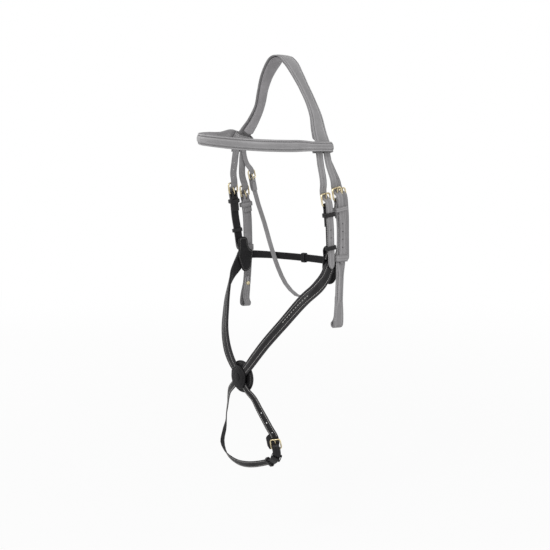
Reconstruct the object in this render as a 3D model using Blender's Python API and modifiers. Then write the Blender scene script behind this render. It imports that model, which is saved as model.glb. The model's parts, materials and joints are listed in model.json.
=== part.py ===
"""Figure eight bridle: padded headpiece, browband, cheekpieces, crossed noseband and throat strap.

The bridle hangs as on a horse's head: +Z is up, the horse looks along -Y and its left, the near side,
is +X. The origin lies under the padded crown, where it rests on the poll. Sizes are in millimetres
until a mesh is made.
"""
import math

import bpy
import bmesh
import numpy as np
from mathutils import Matrix, Vector

MM = 0.001

# Levels below the poll
BROW_DROP = 140.5
CROWN_END_DROP = BROW_DROP + 14.0
CHEEK_BUCKLE_DROP = 234.5
NOSE_BUCKLE_DROP = {"near": 243.5, "far": 228.5}
THROAT_BUCKLE_DROP = {"near": 232.5, "far": 202.5}
THROAT_TAIL_DROP = {"near": 337.0, "far": 222.0}
JUNCTION_DROP = 343.5
BIT_DROP = {"near": 446.5, "far": 441.5}
DISC_DROP = 539.5
CHIN_FALL = 160.0

# Half widths of the head and reaches before and behind the poll
CROWN_END_HALF = 115.5
BUCKLE_HALF = CROWN_END_HALF + 12.5
JUNCTION_HALF = CROWN_END_HALF + 7.2
BIT_HALF = CROWN_END_HALF + 15.5
THROAT_HALF = CROWN_END_HALF + 1.5
CHIN_HALF = 74.5
BROWBAND_REACH = 143.0
NOSE_REACH = 95.5
CHIN_REACH = 77.0
JAW_REACH = 70.0
JAW_BUCKLE_RUN = 74.0
BROW_TILT = 0.09

# Widths of the straps
CROWN_TOP_WIDTH = 33.0
CROWN_WAIST_WIDTH = 23.0
CROWN_END_WIDTH = 31.0
CROWN_PAD_INSET = 3.0
BROWBAND_WIDTH = 19.0
BROWBAND_END_WIDTH = 16.0
HANGER_WIDTH = 16.0
NOSE_BILLET_WIDTH = 14.0
CHEEK_WIDTH = 20.0
CHEEK_ROLL_WIDTH = 17.0
CHEEK_BILLET_WIDTH = 14.0
BIT_END_WIDTH = 22.0
NOSE_STRAP_WIDTH = 20.0
CHIN_WIDTH = 13.0
SAFE_WIDTH = 21.0
SAFE_SHIFT = 6.0
JAW_WIDTH = 13.0
THROAT_WIDTH = 10.0

# Thicknesses
LEATHER = 2.2
THIN_LEATHER = 1.8
CROWN_PAD = 4.1
NOSE_PAD = 4.4
BROWBAND_PAD = 3.0
KEEPER_LEATHER = 1.4
SEAM = 0.3
RUNNING = 0.5

# Brass
BAR_RADIUS = 1.5
THIN_BAR_RADIUS = 1.25
TONGUE_RADIUS = 1.1
BUCKLE_LENGTH = 19.0
SMALL_BUCKLE_LENGTH = 16.0
DISC_DIAMETER = 40.0
DISC_PAD_DIAMETER = 55.0
DISC_PAD_SPREAD = 1.12
DISC_THICKNESS = 3.0
RIVET_RADIUS = 2.2
HOLE_RADIUS = 1.7
HOOK_RADIUS = 1.6
RIVET_RECESS = 2.0
BIT_LOOP = 8.0
DISC_PAD = 5.0
JUNCTION_PLATE = 2.2
BROWBAND_ROLL = 2.5
LOOP_SLACK = 0.9
LOOP_END_SLACK = 2.2
POLL_FLAT = 10.0
PAD_DEPTH = -LEATHER / 2 - SEAM - CROWN_PAD / 2
CROWN_PARTING = 1.5 * LEATHER / 2 + LEATHER / 2 + SEAM
JUNCTION_FACE = JUNCTION_HALF - NOSE_PAD / 2
DISC_SEAT = NOSE_PAD / 2 + 0.5 + SEAM
CROWN_SWELL = 0.9
THROAT_LEAN = {"near": 33.0, "far": 19.0}

GREY = (0.23, 0.225, 0.23, 1.0)
BLACK = (0.022, 0.021, 0.023, 1.0)
LINING = (0.2, 0.192, 0.2, 1.0)
BRASS = (0.62, 0.5, 0.27, 1.0)

parts = bpy.data.collections.new("figure_eight_bridle")
cutters = bpy.data.collections.new("cutters")


def clear_scene():
    for thing in list(bpy.data.objects):
        bpy.data.objects.remove(thing, do_unlink=True)
    bpy.context.scene.collection.children.link(parts)
    bpy.context.scene.collection.children.link(cutters)


def material(name, colour, roughness, metallic=0.0):
    made = bpy.data.materials.new(name)
    made.use_nodes = True
    shader = made.node_tree.nodes["Principled BSDF"]
    shader.inputs["Base Color"].default_value = colour
    shader.inputs["Roughness"].default_value = roughness
    shader.inputs["Metallic"].default_value = metallic
    return made


def grey_leather(name):
    return material(name + "_leather", GREY, 0.5)


def black_leather(name):
    return material(name + "_leather", BLACK, 0.42)


def lining_leather(name):
    return material(name + "_lining", LINING, 0.6)


def brass(name):
    return material(name + "_brass", BRASS, 0.28, 1.0)


def unit(vector):
    return np.asarray(vector, float) / np.linalg.norm(vector)


def smooth_curve(points, per_span):
    """Dense points of a curve that runs through the given ones, with chord-weighted slopes."""
    points = np.asarray(points, float)
    gaps = np.linalg.norm(np.diff(points[:, :3], axis=0), axis=1)
    knots = np.concatenate([[0.0], np.cumsum(gaps)])
    slopes = np.gradient(points, knots, axis=0, edge_order=1)
    dense = []
    for i in range(len(gaps)):
        for step in range(per_span):
            f = step / per_span
            h00, h10 = 2 * f ** 3 - 3 * f ** 2 + 1, f ** 3 - 2 * f ** 2 + f
            h01, h11 = 3 * f ** 2 - 2 * f ** 3, f ** 3 - f ** 2
            dense.append(h00 * points[i] + h10 * gaps[i] * slopes[i]
                         + h01 * points[i + 1] + h11 * gaps[i] * slopes[i + 1])
    dense.append(points[-1])
    return np.array(dense)


class Line:
    """A route for straps: chosen points, each with the side that faces away from the horse."""

    def __init__(self, points, outward):
        points = np.asarray(points, float)
        outward = np.asarray(outward, float)
        if outward.ndim == 1:
            outward = np.tile(outward, (len(points), 1))
        table = smooth_curve(np.hstack([points, outward]), 40)
        self.points, self.sides = table[:, :3], table[:, 3:]
        steps = np.linalg.norm(np.diff(self.points, axis=0), axis=1)
        self.marks = np.concatenate([[0.0], np.cumsum(steps)])
        self.length = float(self.marks[-1])
        self.slopes = np.gradient(self.points, self.marks, axis=0)

    def at(self, s):
        """Point, direction along the line, outward side and across side at arc length s."""
        point = np.array([np.interp(s, self.marks, self.points[:, k]) for k in range(3)])
        along = unit([np.interp(s, self.marks, self.slopes[:, k]) for k in range(3)])
        side = np.array([np.interp(s, self.marks, self.sides[:, k]) for k in range(3)])
        out = unit(side - along * (side @ along))
        if s < 0:
            point = point + along * s
        elif s > self.length:
            point = point + along * (s - self.length)
        return point, along, out, np.cross(out, along)

    def where(self, axis, value, after=0.0):
        """Arc length past 'after' at which the line first crosses a value along X, Y or Z."""
        gap = self.points[:, axis] - value
        for i in range(len(gap) - 1):
            if self.marks[i] >= after and gap[i] * gap[i + 1] <= 0:
                share = gap[i] / (gap[i] - gap[i + 1]) if gap[i] != gap[i + 1] else 0.0
                return float(self.marks[i] + share * (self.marks[i + 1] - self.marks[i]))
        raise ValueError("the line does not reach %.1f" % value)

    def frame(self, s):
        """Matrix in metres whose X lies across, Y back along the line and Z outward."""
        point, along, out, _ = self.at(s)
        back = -along
        side = np.cross(back, out)
        rows = Matrix((side, back, out)).transposed().to_4x4()
        rows.translation = Vector(point * MM)
        return rows

    def moved_aside(self, distance):
        """The same route, shifted across itself."""
        twin = self.mirrored().mirrored()
        across = np.cross(self.sides, self.slopes)
        twin.points = self.points + distance * across / np.linalg.norm(across, axis=1)[:, None]
        return twin

    def mirrored(self):
        flip = np.array([-1.0, 1.0, 1.0])
        twin = Line.__new__(Line)
        twin.points, twin.sides, twin.slopes = self.points * flip, self.sides * flip, self.slopes * flip
        twin.marks, twin.length = self.marks, self.length
        return twin


def add_object(name, data, finish, collection=None):
    thing = bpy.data.objects.new(name, data)
    (collection or parts).objects.link(thing)
    if finish:
        data.materials.append(finish)
    return thing


def mesh_from(curve_object, name, finish, collection=None):
    """The curve's evaluated mesh as a welded object in its place."""
    bpy.context.view_layer.update()
    ready = curve_object.evaluated_get(bpy.context.evaluated_depsgraph_get())
    mesh = bpy.data.meshes.new_from_object(ready)
    mesh.name = name
    bm = bmesh.new()
    bm.from_mesh(mesh)
    bmesh.ops.remove_doubles(bm, verts=bm.verts, dist=0.00001)
    bmesh.ops.recalc_face_normals(bm, faces=bm.faces)
    bm.to_mesh(mesh)
    bm.free()
    place = curve_object.matrix_world.copy()
    bpy.data.objects.remove(curve_object, do_unlink=True)
    mesh.materials.clear()
    made = add_object(name, mesh, finish, collection)
    made.matrix_world = place
    return made


def smooth_shading(thing, angle=40.0):
    thing.data.shade_smooth()
    thing.data.set_sharp_from_angle(angle=math.radians(angle))


def stations(line, profile, tip_start, tip_end, finest):
    """Places along a strap, close together only where it bends or narrows: rows of s, n, width."""
    dense = smooth_curve([(s, n, 0.0) for s, n, _ in profile], 24)[:, :2]
    widths = np.interp(np.arange(len(dense)) / 24, np.arange(len(profile)), [w for _, _, w in profile])
    dense = np.column_stack([dense, widths])
    points = []
    for s, n, _ in dense:
        point, _, out, _ = line.at(s)
        points.append(point + out * n)
    points = np.array(points)
    run = np.concatenate([[0.0], np.cumsum(np.linalg.norm(np.diff(points, axis=0), axis=1))])
    total = run[-1]
    heading = np.gradient(points, run, axis=0)
    heading /= np.linalg.norm(heading, axis=1)[:, None]
    keep, last = [0.0], 0
    for i in range(1, len(run)):
        across_now, across_then = line.at(dense[i, 0])[3], line.at(dense[last, 0])[3]
        turn = math.degrees(math.acos(min(1.0, heading[i] @ heading[last])))
        twist = math.degrees(math.acos(min(1.0, across_now @ across_then)))
        swell = abs(dense[i, 2] - dense[last, 2])
        if turn > finest or twist > 1.3 * finest or run[i] - run[last] > 26.0 or swell > 2.0:
            keep.append(run[i])
            last = i
    if total - keep[-1] < 1.5:
        keep.pop()
    keep.append(total)
    for tip, start in ((tip_start, True), (tip_end, False)):
        if tip:
            keep = [k for k in keep if (k >= tip if start else k <= total - tip)]
            ends = [tip * f for f in (0.0, 0.06, 0.22, 0.5, 1.0)]
            keep += ends if start else [total - e for e in ends]
    rows = []
    for k in sorted(set(round(k, 4) for k in keep)):
        s, n, width = [np.interp(k, run, dense[:, c]) for c in range(3)]
        for tip, gone in ((tip_start, k), (tip_end, total - k)):
            if tip and gone < tip:
                width *= math.sqrt(max(0.1, 1.0 - (1.0 - gone / tip) ** 2))
        rows.append((float(s), float(n), float(width)))
    return rows


def shared_rows(profile, marks):
    """The profile's rows at given arc lengths, so that layers on one line bend at the same places."""
    s, n, width = np.array(profile).T
    return [(float(m), float(np.interp(m, s, n)), float(np.interp(m, s, width)))
            for m in marks if s[0] - 0.01 <= m <= s[-1] + 0.01]


def lay_strap(name, line, profile, thickness, finish, tips=(0.0, 0.0), columns=1, rounding=0.0,
              finest=11.0, marks=None):
    """A flat grid bent onto a line and thickened. The profile has rows of (s, n, width)."""
    rows = shared_rows(profile, marks) if marks else stations(line, profile, tips[0], tips[1], finest)
    bm = bmesh.new()
    bmesh.ops.create_grid(bm, x_segments=len(rows) - 1, y_segments=columns, size=0.5)
    for vertex in bm.verts:
        s, n, width = rows[round((vertex.co.x + 0.5) * (len(rows) - 1))]
        share = vertex.co.y
        point, _, out, across = line.at(s)
        swell = rounding(s) if callable(rounding) else rounding
        lift = n + swell * (1.0 - (2.0 * share) ** 2)
        vertex.co = Vector((point + out * lift + across * width * share) * MM)
    mesh = bpy.data.meshes.new(name)
    bm.to_mesh(mesh)
    bm.free()
    strap = add_object(name, mesh, finish)
    wall = strap.modifiers.new("thickness", "SOLIDIFY")
    wall.thickness = thickness * MM
    wall.offset = 0.0
    wall.use_even_offset = True
    return strap


def rounded_box(width, height, corner, steps=3):
    """Points of a rectangle with round corners about the origin, as rows of x, y."""
    points = []
    for quarter, (cx, cy) in enumerate(((1, 1), (-1, 1), (-1, -1), (1, -1))):
        for step in range(steps + 1):
            angle = math.pi / 2 * (quarter + step / steps)
            points.append((cx * (width / 2 - corner) + corner * math.cos(angle),
                           cy * (height / 2 - corner) + corner * math.sin(angle)))
    return points


def lay_loop(name, place, inner, height, thickness, finish, shift=(0.0, 0.0), corner=2.0):
    """A leather loop round a strap: an extruded wall in the place's X-Z plane, thickened outward."""
    data = bpy.data.curves.new(name, "CURVE")
    data.dimensions = "2D"
    data.fill_mode = "NONE"
    data.extrude = height / 2 * MM
    outline = rounded_box(inner[0] + thickness, inner[1] + thickness, corner + thickness / 2)
    spline = data.splines.new("POLY")
    spline.points.add(len(outline) - 1)
    for point, (x, y) in zip(spline.points, outline):
        point.co = ((x + shift[0]) * MM, (y + shift[1]) * MM, 0.0, 1.0)
    spline.use_cyclic_u = True
    raw = add_object(name + "_outline", data, None)
    made = mesh_from(raw, name, finish)
    turn = Matrix.Rotation(math.radians(90.0), 4, "X")
    made.data.transform(turn)
    made.matrix_world = place
    wall = made.modifiers.new("thickness", "SOLIDIFY")
    wall.thickness = thickness * MM
    wall.offset = 0.0
    return made


def cut(thing, cutter):
    cutter.hide_render = True
    cutter.display_type = "WIRE"
    hole = thing.modifiers.new("cut_" + cutter.name, "BOOLEAN")
    hole.operation = "DIFFERENCE"
    hole.solver = "EXACT"
    hole.object = cutter


def cylinders(name, places, radius, length, sides=10):
    """One cutter object of separate cylinders, each along its place's Z."""
    bm = bmesh.new()
    for place in places:
        bmesh.ops.create_cone(bm, cap_ends=True, segments=sides, radius1=radius * MM,
                              radius2=radius * MM, depth=length * MM, matrix=place)
    mesh = bpy.data.meshes.new(name)
    bm.to_mesh(mesh)
    bm.free()
    return add_object(name, mesh, None, cutters)


def punch(strap, line, marks, radius=HOLE_RADIUS):
    """Round holes through a billet at the given arc lengths."""
    cut(strap, cylinders(strap.name + "_holes", [line.frame(s) for s in marks], radius, 26.0))


def turned(name, profile, place, finish, steps=24):
    """A turned piece: rows of radius and height, top to bottom on the outer side, about Z.

    A profile that starts off the axis is closed into a ring.
    """
    mesh = bpy.data.meshes.new(name)
    bm = bmesh.new()
    verts = [bm.verts.new((r * MM, 0.0, z * MM)) for r, z in profile]
    ring = verts[1:] + ([verts[0]] if profile[0][0] > 0.0 else [])
    for first, second in zip(verts, ring):
        bm.edges.new((first, second))
    bm.to_mesh(mesh)
    bm.free()
    made = add_object(name, mesh, finish)
    made.matrix_world = place
    screw = made.modifiers.new("turn", "SCREW")
    screw.angle = 2 * math.pi
    screw.steps = steps
    screw.render_steps = steps
    screw.use_merge_vertices = True
    screw.merge_threshold = 0.00001
    return made


class Buckle:
    """A brass frame with a tongue on its heel bar, set on a line with the heel bar at arc length s."""

    def __init__(self, name, line, s, billet_width, small=False):
        self.name, self.line, self.s = name, line, s
        self.bar = THIN_BAR_RADIUS if small else BAR_RADIUS
        self.length = SMALL_BUCKLE_LENGTH if small else BUCKLE_LENGTH
        self.leather = THIN_LEATHER if small else LEATHER
        self.tongue = TONGUE_RADIUS - (0.15 if small else 0.0)
        self.inner = billet_width + 2 * 0.9
        self.place = line.frame(s)
        self.wrap = self.bar + RUNNING + self.leather / 2
        self.over = self.wrap + self.leather + SEAM
        self.behind = self.bar + 2 * RUNNING + self.leather / 2
        self.make_frame()
        self.make_tongue()

    def tube(self, points, radius, cyclic, name, finish):
        data = bpy.data.curves.new(name, "CURVE")
        data.dimensions = "3D"
        data.bevel_depth = radius * MM
        data.bevel_resolution = 2
        data.use_fill_caps = not cyclic
        spline = data.splines.new("POLY")
        spline.points.add(len(points) - 1)
        for point, place in zip(spline.points, points):
            point.co = (place[0] * MM, place[1] * MM, place[2] * MM, 1.0)
        spline.use_cyclic_u = cyclic
        raw = add_object(name + "_wire", data, None)
        made = mesh_from(raw, name, finish)
        made.matrix_world = self.place
        smooth_shading(made)
        return made

    def make_frame(self):
        width, length = self.inner + 2 * self.bar, self.length
        points = [(x, y + length / 2, 0.0) for x, y in rounded_box(width, length, 3.6, 4)]
        self.frame = self.tube(points, self.bar, True, self.name + "_frame", brass(self.name + "_frame"))

    def make_tongue(self):
        """A wire bent round the heel bar whose straight end lies on the front bar."""
        ring = self.bar + SEAM + self.tongue
        reach = np.array([self.length + 1.2, self.bar + 2 * SEAM + self.tongue])
        away = math.atan2(reach[1], reach[0])
        leave = away - math.acos(ring / np.linalg.norm(reach))
        turns = [leave - math.radians(250.0) * step / 9 for step in range(9, -1, -1)]
        points = [(0.0, ring * math.cos(a), ring * math.sin(a)) for a in turns]
        points.append((0.0, reach[0], reach[1]))
        self.prong_foot = np.array(points[-2])
        self.prong_tip = np.array(points[-1])
        self.tongue_object = self.tube(points, self.tongue, False, self.name + "_tongue",
                                       brass(self.name + "_tongue"))

    def chape(self, turned_in, width, wide, settle=26.0, heel=None):
        """Profile of a strap end folded round the heel bar, ready to go on along the line."""
        heel = self.s if heel is None else heel
        fold = self.leather / 2 + SEAM / 2
        points = [(heel + turned_in, -fold, wide), (heel + 12.0, -fold - 0.3, wide),
                  (heel + 5.5, -self.wrap + 0.5, width)]
        for step in range(9):
            angle = math.radians(-90.0 + 22.5 * step)
            points.append((heel - self.wrap * math.cos(angle), self.wrap * math.sin(angle), width))
        points += [(heel + 5.5, self.wrap - 0.5, width), (heel + 12.0, fold + 0.3, wide),
                   (heel + settle, fold, wide), (heel + settle + 8.0, fold, wide)]
        return points

    def billet(self, width, tail):
        """Profile of a billet through the frame: behind the front bar, over the heel bar, then its tail."""
        rest = 1.5 * self.leather + 1.5 * SEAM + 0.2
        top = self.s - self.length
        return [(top - 13.0, 0.0, width), (top - 5.0, -self.behind * 0.8, width),
                (top + 1.0, -self.behind, width), (top + 4.5, -self.behind * 0.8, width),
                (self.s - 5.5, self.over * 0.93, width), (self.s - 1.0, self.over + 0.15, width),
                (self.s + 5.0, self.over * 0.97, width), (self.s + 15.0, rest + 0.4, width),
                (self.s + 26.0, rest, width), (self.s + 34.0, rest, width), (tail, rest, width)]

    def slot_chape(self, strap):
        bm = bmesh.new()
        bmesh.ops.create_cube(bm, size=1.0)
        size = (2 * self.tongue + 1.6, 2 * self.wrap + 2 * self.leather + 2.4,
                2 * self.wrap + 2 * self.leather)
        bmesh.ops.scale(bm, vec=[v * MM for v in size], verts=bm.verts)
        mesh = bpy.data.meshes.new(strap.name + "_slot")
        bm.to_mesh(mesh)
        bm.free()
        cutter = add_object(strap.name + "_slot_" + self.name, mesh, None, cutters)
        cutter.matrix_world = self.place
        cut(strap, cutter)

    def hole_billet(self, billet):
        """The slanted hole that the tongue stands in, with room for it to lift."""
        run = self.prong_tip - self.prong_foot
        middle = self.prong_foot + run * 0.5
        tilt = math.atan2(run[2], run[1]) + math.radians(3.0)
        local = Matrix.Translation(Vector(middle * MM)) @ Matrix.Rotation(tilt - math.pi / 2, 4, "X")
        cut(billet, cylinders(billet.name + "_tongue_hole", [self.place @ local],
                              self.tongue + 0.85, self.length + 2.0, 12))


def keeper(name, buckle, after, wide, finish, both=True, height=7.0, room=0.0):
    """A loop round a strap and its billet, so far past the buckle's heel bar."""
    lower = (-buckle.leather - SEAM / 2 - 0.4 if both else SEAM / 2) - room
    upper = 1.5 * SEAM + 2 * buckle.leather + (1.0 if both else 0.2) + room
    inner = (wide + 2 * RUNNING + room, upper - lower + 2 * RUNNING)
    place = buckle.line.frame(buckle.s + after)
    return lay_loop(name, place, inner, height, KEEPER_LEATHER, finish, (0.0, (upper + lower) / 2), 1.0)


def crown_half():
    """Route of the crown from the middle to the near end: point, side facing out, width."""
    end, top = CROWN_END_HALF, LEATHER / 2 + SEAM + CROWN_PAD
    fall = CROWN_END_DROP
    return [((0.0, -6.5, top), (0.0, 0.0, 1.0), CROWN_TOP_WIDTH),
            ((10.0, -6.5, top - 1.6), (0.2, 0.0, 1.0), CROWN_TOP_WIDTH),
            ((24.5, -6.0, top - 11.5), (0.6, 0.0, 1.0), CROWN_TOP_WIDTH - 0.5),
            ((0.346 * end, -6.0, -0.149 * fall), (0.8, 0.0, 0.6), CROWN_TOP_WIDTH - 5.0),
            ((0.48 * end, -3.5, -0.301 * fall), (0.85, 0.0, 0.5), CROWN_WAIST_WIDTH + 0.5),
            ((0.606 * end, 0.5, -0.476 * fall), (0.9, 0.0, 0.5), CROWN_WAIST_WIDTH),
            ((0.749 * end, -2.0, -0.65 * fall), (0.9, 0.0, 0.5), CROWN_WAIST_WIDTH + 2.5),
            ((0.87 * end, -9.0, -0.796 * fall), (0.95, 0.0, 0.45), CROWN_END_WIDTH - 2.0),
            ((end - 7.0, -12.0, 19.0 - fall), (1.0, 0.0, 0.4), CROWN_END_WIDTH),
            ((end - 2.5, -12.5, 10.0 - fall), (1.0, 0.0, 0.3), CROWN_END_WIDTH),
            ((end, -12.5, -fall), (1.0, 0.0, 0.2), CROWN_END_WIDTH)]


def crown_line():
    near = crown_half()
    far = [((-x, y, z), (-u, v, w), width) for (x, y, z), (u, v, w), width in near[:0:-1]]
    rows = far + near
    line = Line([point for point, _, _ in rows], [side for _, side, _ in rows])
    point, _, out, _ = line.at((line.length + POLL_FLAT) / 2)
    underside = point[2] + out[2] * PAD_DEPTH - CROWN_PAD / 2
    line.points[:, 2] -= underside
    marks = [float(line.marks[40 * i]) for i in range(len(rows))]
    return line, [(mark, width) for mark, (_, _, width) in zip(marks, rows)]


def brow_level(x):
    return -BROW_DROP - BROW_TILT * x


def make_crown(line, widths):
    """The padded headpiece: an outer strap that parts from its lining where the billets enter."""
    middle = line.length / 2
    near_loop = line.where(2, brow_level(CROWN_END_HALF) + BROWBAND_END_WIDTH / 2 + 5.0, middle)
    far_loop = line.length - line.where(2, brow_level(-CROWN_END_HALF) + BROWBAND_END_WIDTH / 2 + 3.0,
                                        middle)

    def lift(s):
        return CROWN_PARTING * min(1.0, max(0.0, (abs(s - middle) / middle - 0.5) / 0.35))

    outer = [(s, lift(s), width) for s, width in widths]
    lining = [(s, PAD_DEPTH, width - 2 * CROWN_PAD_INSET) for s, width in widths
              if far_loop < s < near_loop]
    lining = ([(far_loop, PAD_DEPTH, CROWN_WAIST_WIDTH)] + lining
              + [(near_loop, PAD_DEPTH, CROWN_WAIST_WIDTH + 3.0)])
    flat = POLL_FLAT / 2
    marks = [s for s, _, _ in stations(line, outer, 0.0, 0.0, 9.0) if abs(s - middle) > flat + 0.5]
    marks = sorted(marks + [far_loop, middle - flat, middle + flat, near_loop])
    lay_strap("crown_outer", line, outer, LEATHER, grey_leather("crown_outer"), columns=2,
              rounding=CROWN_SWELL,
              marks=marks)
    lay_strap("crown_lining", line, lining, CROWN_PAD, lining_leather("crown"), marks=marks)


def noseband_line():
    """From inside the crown's end down the near cheek to the junction."""
    buckle = NOSE_BUCKLE_DROP["near"]
    return Line([(CROWN_END_HALF - 2.5, -20.0, 10.0 - CROWN_END_DROP),
                 (CROWN_END_HALF, -20.0, -CROWN_END_DROP),
                 (CROWN_END_HALF + 7.0, -20.0, -CROWN_END_DROP - 36.0),
                 (BUCKLE_HALF - 1.0, -18.3, 25.0 - buckle), (BUCKLE_HALF + 1.2, -14.2, 2.0 - buckle),
                 (BUCKLE_HALF + 2.0, -10.5, -buckle - 28.0), (BUCKLE_HALF - 0.5, -6.5, 42.0 - JUNCTION_DROP),
                 (JUNCTION_HALF + 1.8, -1.5, -JUNCTION_DROP - 6.0)],
                (1.0, 0.0, 0.0))


def cheek_line():
    """From inside the crown's end down to the bit."""
    return Line([(CROWN_END_HALF - 2.5, -4.0, 10.0 - CROWN_END_DROP),
                 (CROWN_END_HALF, -4.0, -CROWN_END_DROP),
                 (CROWN_END_HALF + 7.0, -0.5, -CROWN_END_DROP - 34.0),
                 (BUCKLE_HALF, 6.5, 20.0 - CHEEK_BUCKLE_DROP),
                 (BUCKLE_HALF + 1.0, 11.0, -CHEEK_BUCKLE_DROP - 2.0),
                 (BUCKLE_HALF + 1.5, 15.5, -CHEEK_BUCKLE_DROP - 30.0),
                 (BUCKLE_HALF + 1.0, 17.5, -CHEEK_BUCKLE_DROP - 80.0),
                 (BUCKLE_HALF - 0.5, 16.5, -CHEEK_BUCKLE_DROP - 122.0),
                 (BUCKLE_HALF + 0.5, 14.0, 50.0 - BIT_DROP["near"]),
                 (BIT_HALF, 11.0, 18.0 - BIT_DROP["near"]), (BIT_HALF, 10.0, -BIT_DROP["near"])],
                (1.0, 0.0, 0.0))


def throat_billet_line(side):
    """From the inner side of the crown's end to the throat buckle, and on straight down."""
    start = CROWN_END_HALF - THIN_LEATHER / 2 - 2 * SEAM - LEATHER / 2
    drop, tail = THROAT_BUCKLE_DROP[side], THROAT_TAIL_DROP[side]
    half, lean = THROAT_HALF, THROAT_LEAN[side]
    line = Line([(start - 2.5, -5.0, 10.0 - CROWN_END_DROP), (start, -3.5, -CROWN_END_DROP),
                 ((start + half) / 2 + 1.0, 0.4 * lean, -(CROWN_END_DROP + drop) / 2),
                 (half, lean - 5.0, -drop + 16.0), (half, lean, -drop), (half, lean + 3.5, -drop - 18.0),
                 (half, lean + 5.5, -(drop + tail) / 2 - 12.0), (half, lean + 6.5, -tail)], (1.0, 0.0, 0.0))
    return line if side == "near" else line.mirrored()


def throat_strap_line():
    """A hanging loop between the two throat buckles."""
    near, far = THROAT_BUCKLE_DROP["near"], THROAT_BUCKLE_DROP["far"]
    lean, back, half = THROAT_LEAN["near"], THROAT_LEAN["far"], THROAT_HALF
    points = [(half, lean - 5.0, 16.0 - near), (half, lean, -near), (half - 0.5, lean + 3.0, -near - 18.0),
              (half - 5.0, 35.0, -near - 54.0), (half - 21.0, 36.0, -near - 102.0),
              (half - 41.0, 36.5, -near - 136.0), (half - 75.0, 37.0, -near - 167.5),
              (0.0, 37.0, -near - 179.0), (79.0 - half, 37.0, -far - 191.5),
              (55.0 - half, 36.5, -far - 162.0), (37.0 - half, 35.0, -far - 126.0),
              (20.0 - half, 31.0, -far - 79.0),
              (5.0 - half, back + 7.5, -far - 40.0), (1.0 - half, back + 3.5, -far - 18.0),
              (-half, back, -far), (-half, back - 5.0, 16.0 - far)]
    sides = [(1.0, 0.0, 0.0), (1.0, 0.0, 0.0), (1.0, 0.0, -0.1), (1.0, 0.0, -0.2), (0.9, 0.0, -0.5),
             (0.7, 0.0, -0.7), (0.3, 0.0, -0.95), (0.0, 0.0, -1.0), (-0.4, 0.0, -0.9), (-0.8, 0.0, -0.6),
             (-0.9, 0.0, -0.4), (-1.0, 0.0, -0.3), (-1.0, 0.0, -0.1), (-1.0, 0.0, 0.0), (-1.0, 0.0, 0.0),
             (-1.0, 0.0, 0.0)]
    return Line(points, sides)


def browband_line(crown, lift):
    """From the near end, over the browband loop, round the brow to the far end."""
    points, sides = [], []
    reach, half = BROWBAND_REACH, CROWN_END_HALF
    front = [(half + 4.0, -0.37 * reach, 2.4, (1.0, -0.2, 0.1)),
             (half - 3.0, -0.56 * reach, 1.4, (1.0, -0.45, 0.0)),
             (half - 22.0, -0.78 * reach, 0.4, (0.7, -0.75, 0.0)),
             (half - 57.0, -0.94 * reach, 0.0, (0.3, -1.0, 0.0))]
    for sign in (1.0, -1.0):
        s = loop_place(crown, sign)
        point, _, out, across = crown.at(s)
        ends = [point + out * lift + across * reached for reached in (16.5, 0.0, -16.0, -24.0)]
        part = [(tuple(p), tuple(out)) for p in ends]
        part += [((sign * x, y, brow_level(sign * x) + rise), (sign * u, v, w))
                 for x, y, rise, (u, v, w) in front]
        if sign > 0:
            part.append(((0.0, -reach, brow_level(0.0)), (0.0, -1.0, 0.0)))
        points += [p for p, _ in (part if sign > 0 else part[::-1])]
        sides += [q for _, q in (part if sign > 0 else part[::-1])]
    return Line(points, sides)


def loop_place(crown, sign):
    """Arc length on the crown line at the middle of a browband loop."""
    s = crown.where(2, brow_level(sign * CROWN_END_HALF), crown.length / 2)
    return s if sign > 0 else crown.length - s


def nose_line():
    """The padded strap from the near junction over the nose to the disc."""
    half, drop = JUNCTION_HALF, JUNCTION_DROP
    points = [(half, 0.5, -drop + 9.0), (half, -4.0, -drop - 5.0), (half, -12.0, -drop - 19.0),
              (half - 2.0, -24.0, -drop - 33.0), (half - 14.5, -41.5, -drop - 53.0),
              (84.0, 29.5 - NOSE_REACH, -DISC_DROP + 103.0), (57.0, 9.0 - NOSE_REACH, -DISC_DROP + 63.0),
              (39.0, 2.0 - NOSE_REACH, -DISC_DROP + 39.0), (22.0, -NOSE_REACH, -DISC_DROP + 20.0),
              (10.5, -NOSE_REACH, -DISC_DROP + 9.5)]
    sides = [(1.0, 0.0, 0.0), (1.0, 0.0, 0.0), (1.0, -0.05, 0.0), (0.85, -0.45, 0.1), (0.55, -0.8, 0.25),
             (0.3, -0.9, 0.35), (0.15, -0.95, 0.25), (0.05, -1.0, 0.15), (0.0, -1.0, 0.03),
             (0.0, -1.0, 0.0)]
    return Line(points, sides)


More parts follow.
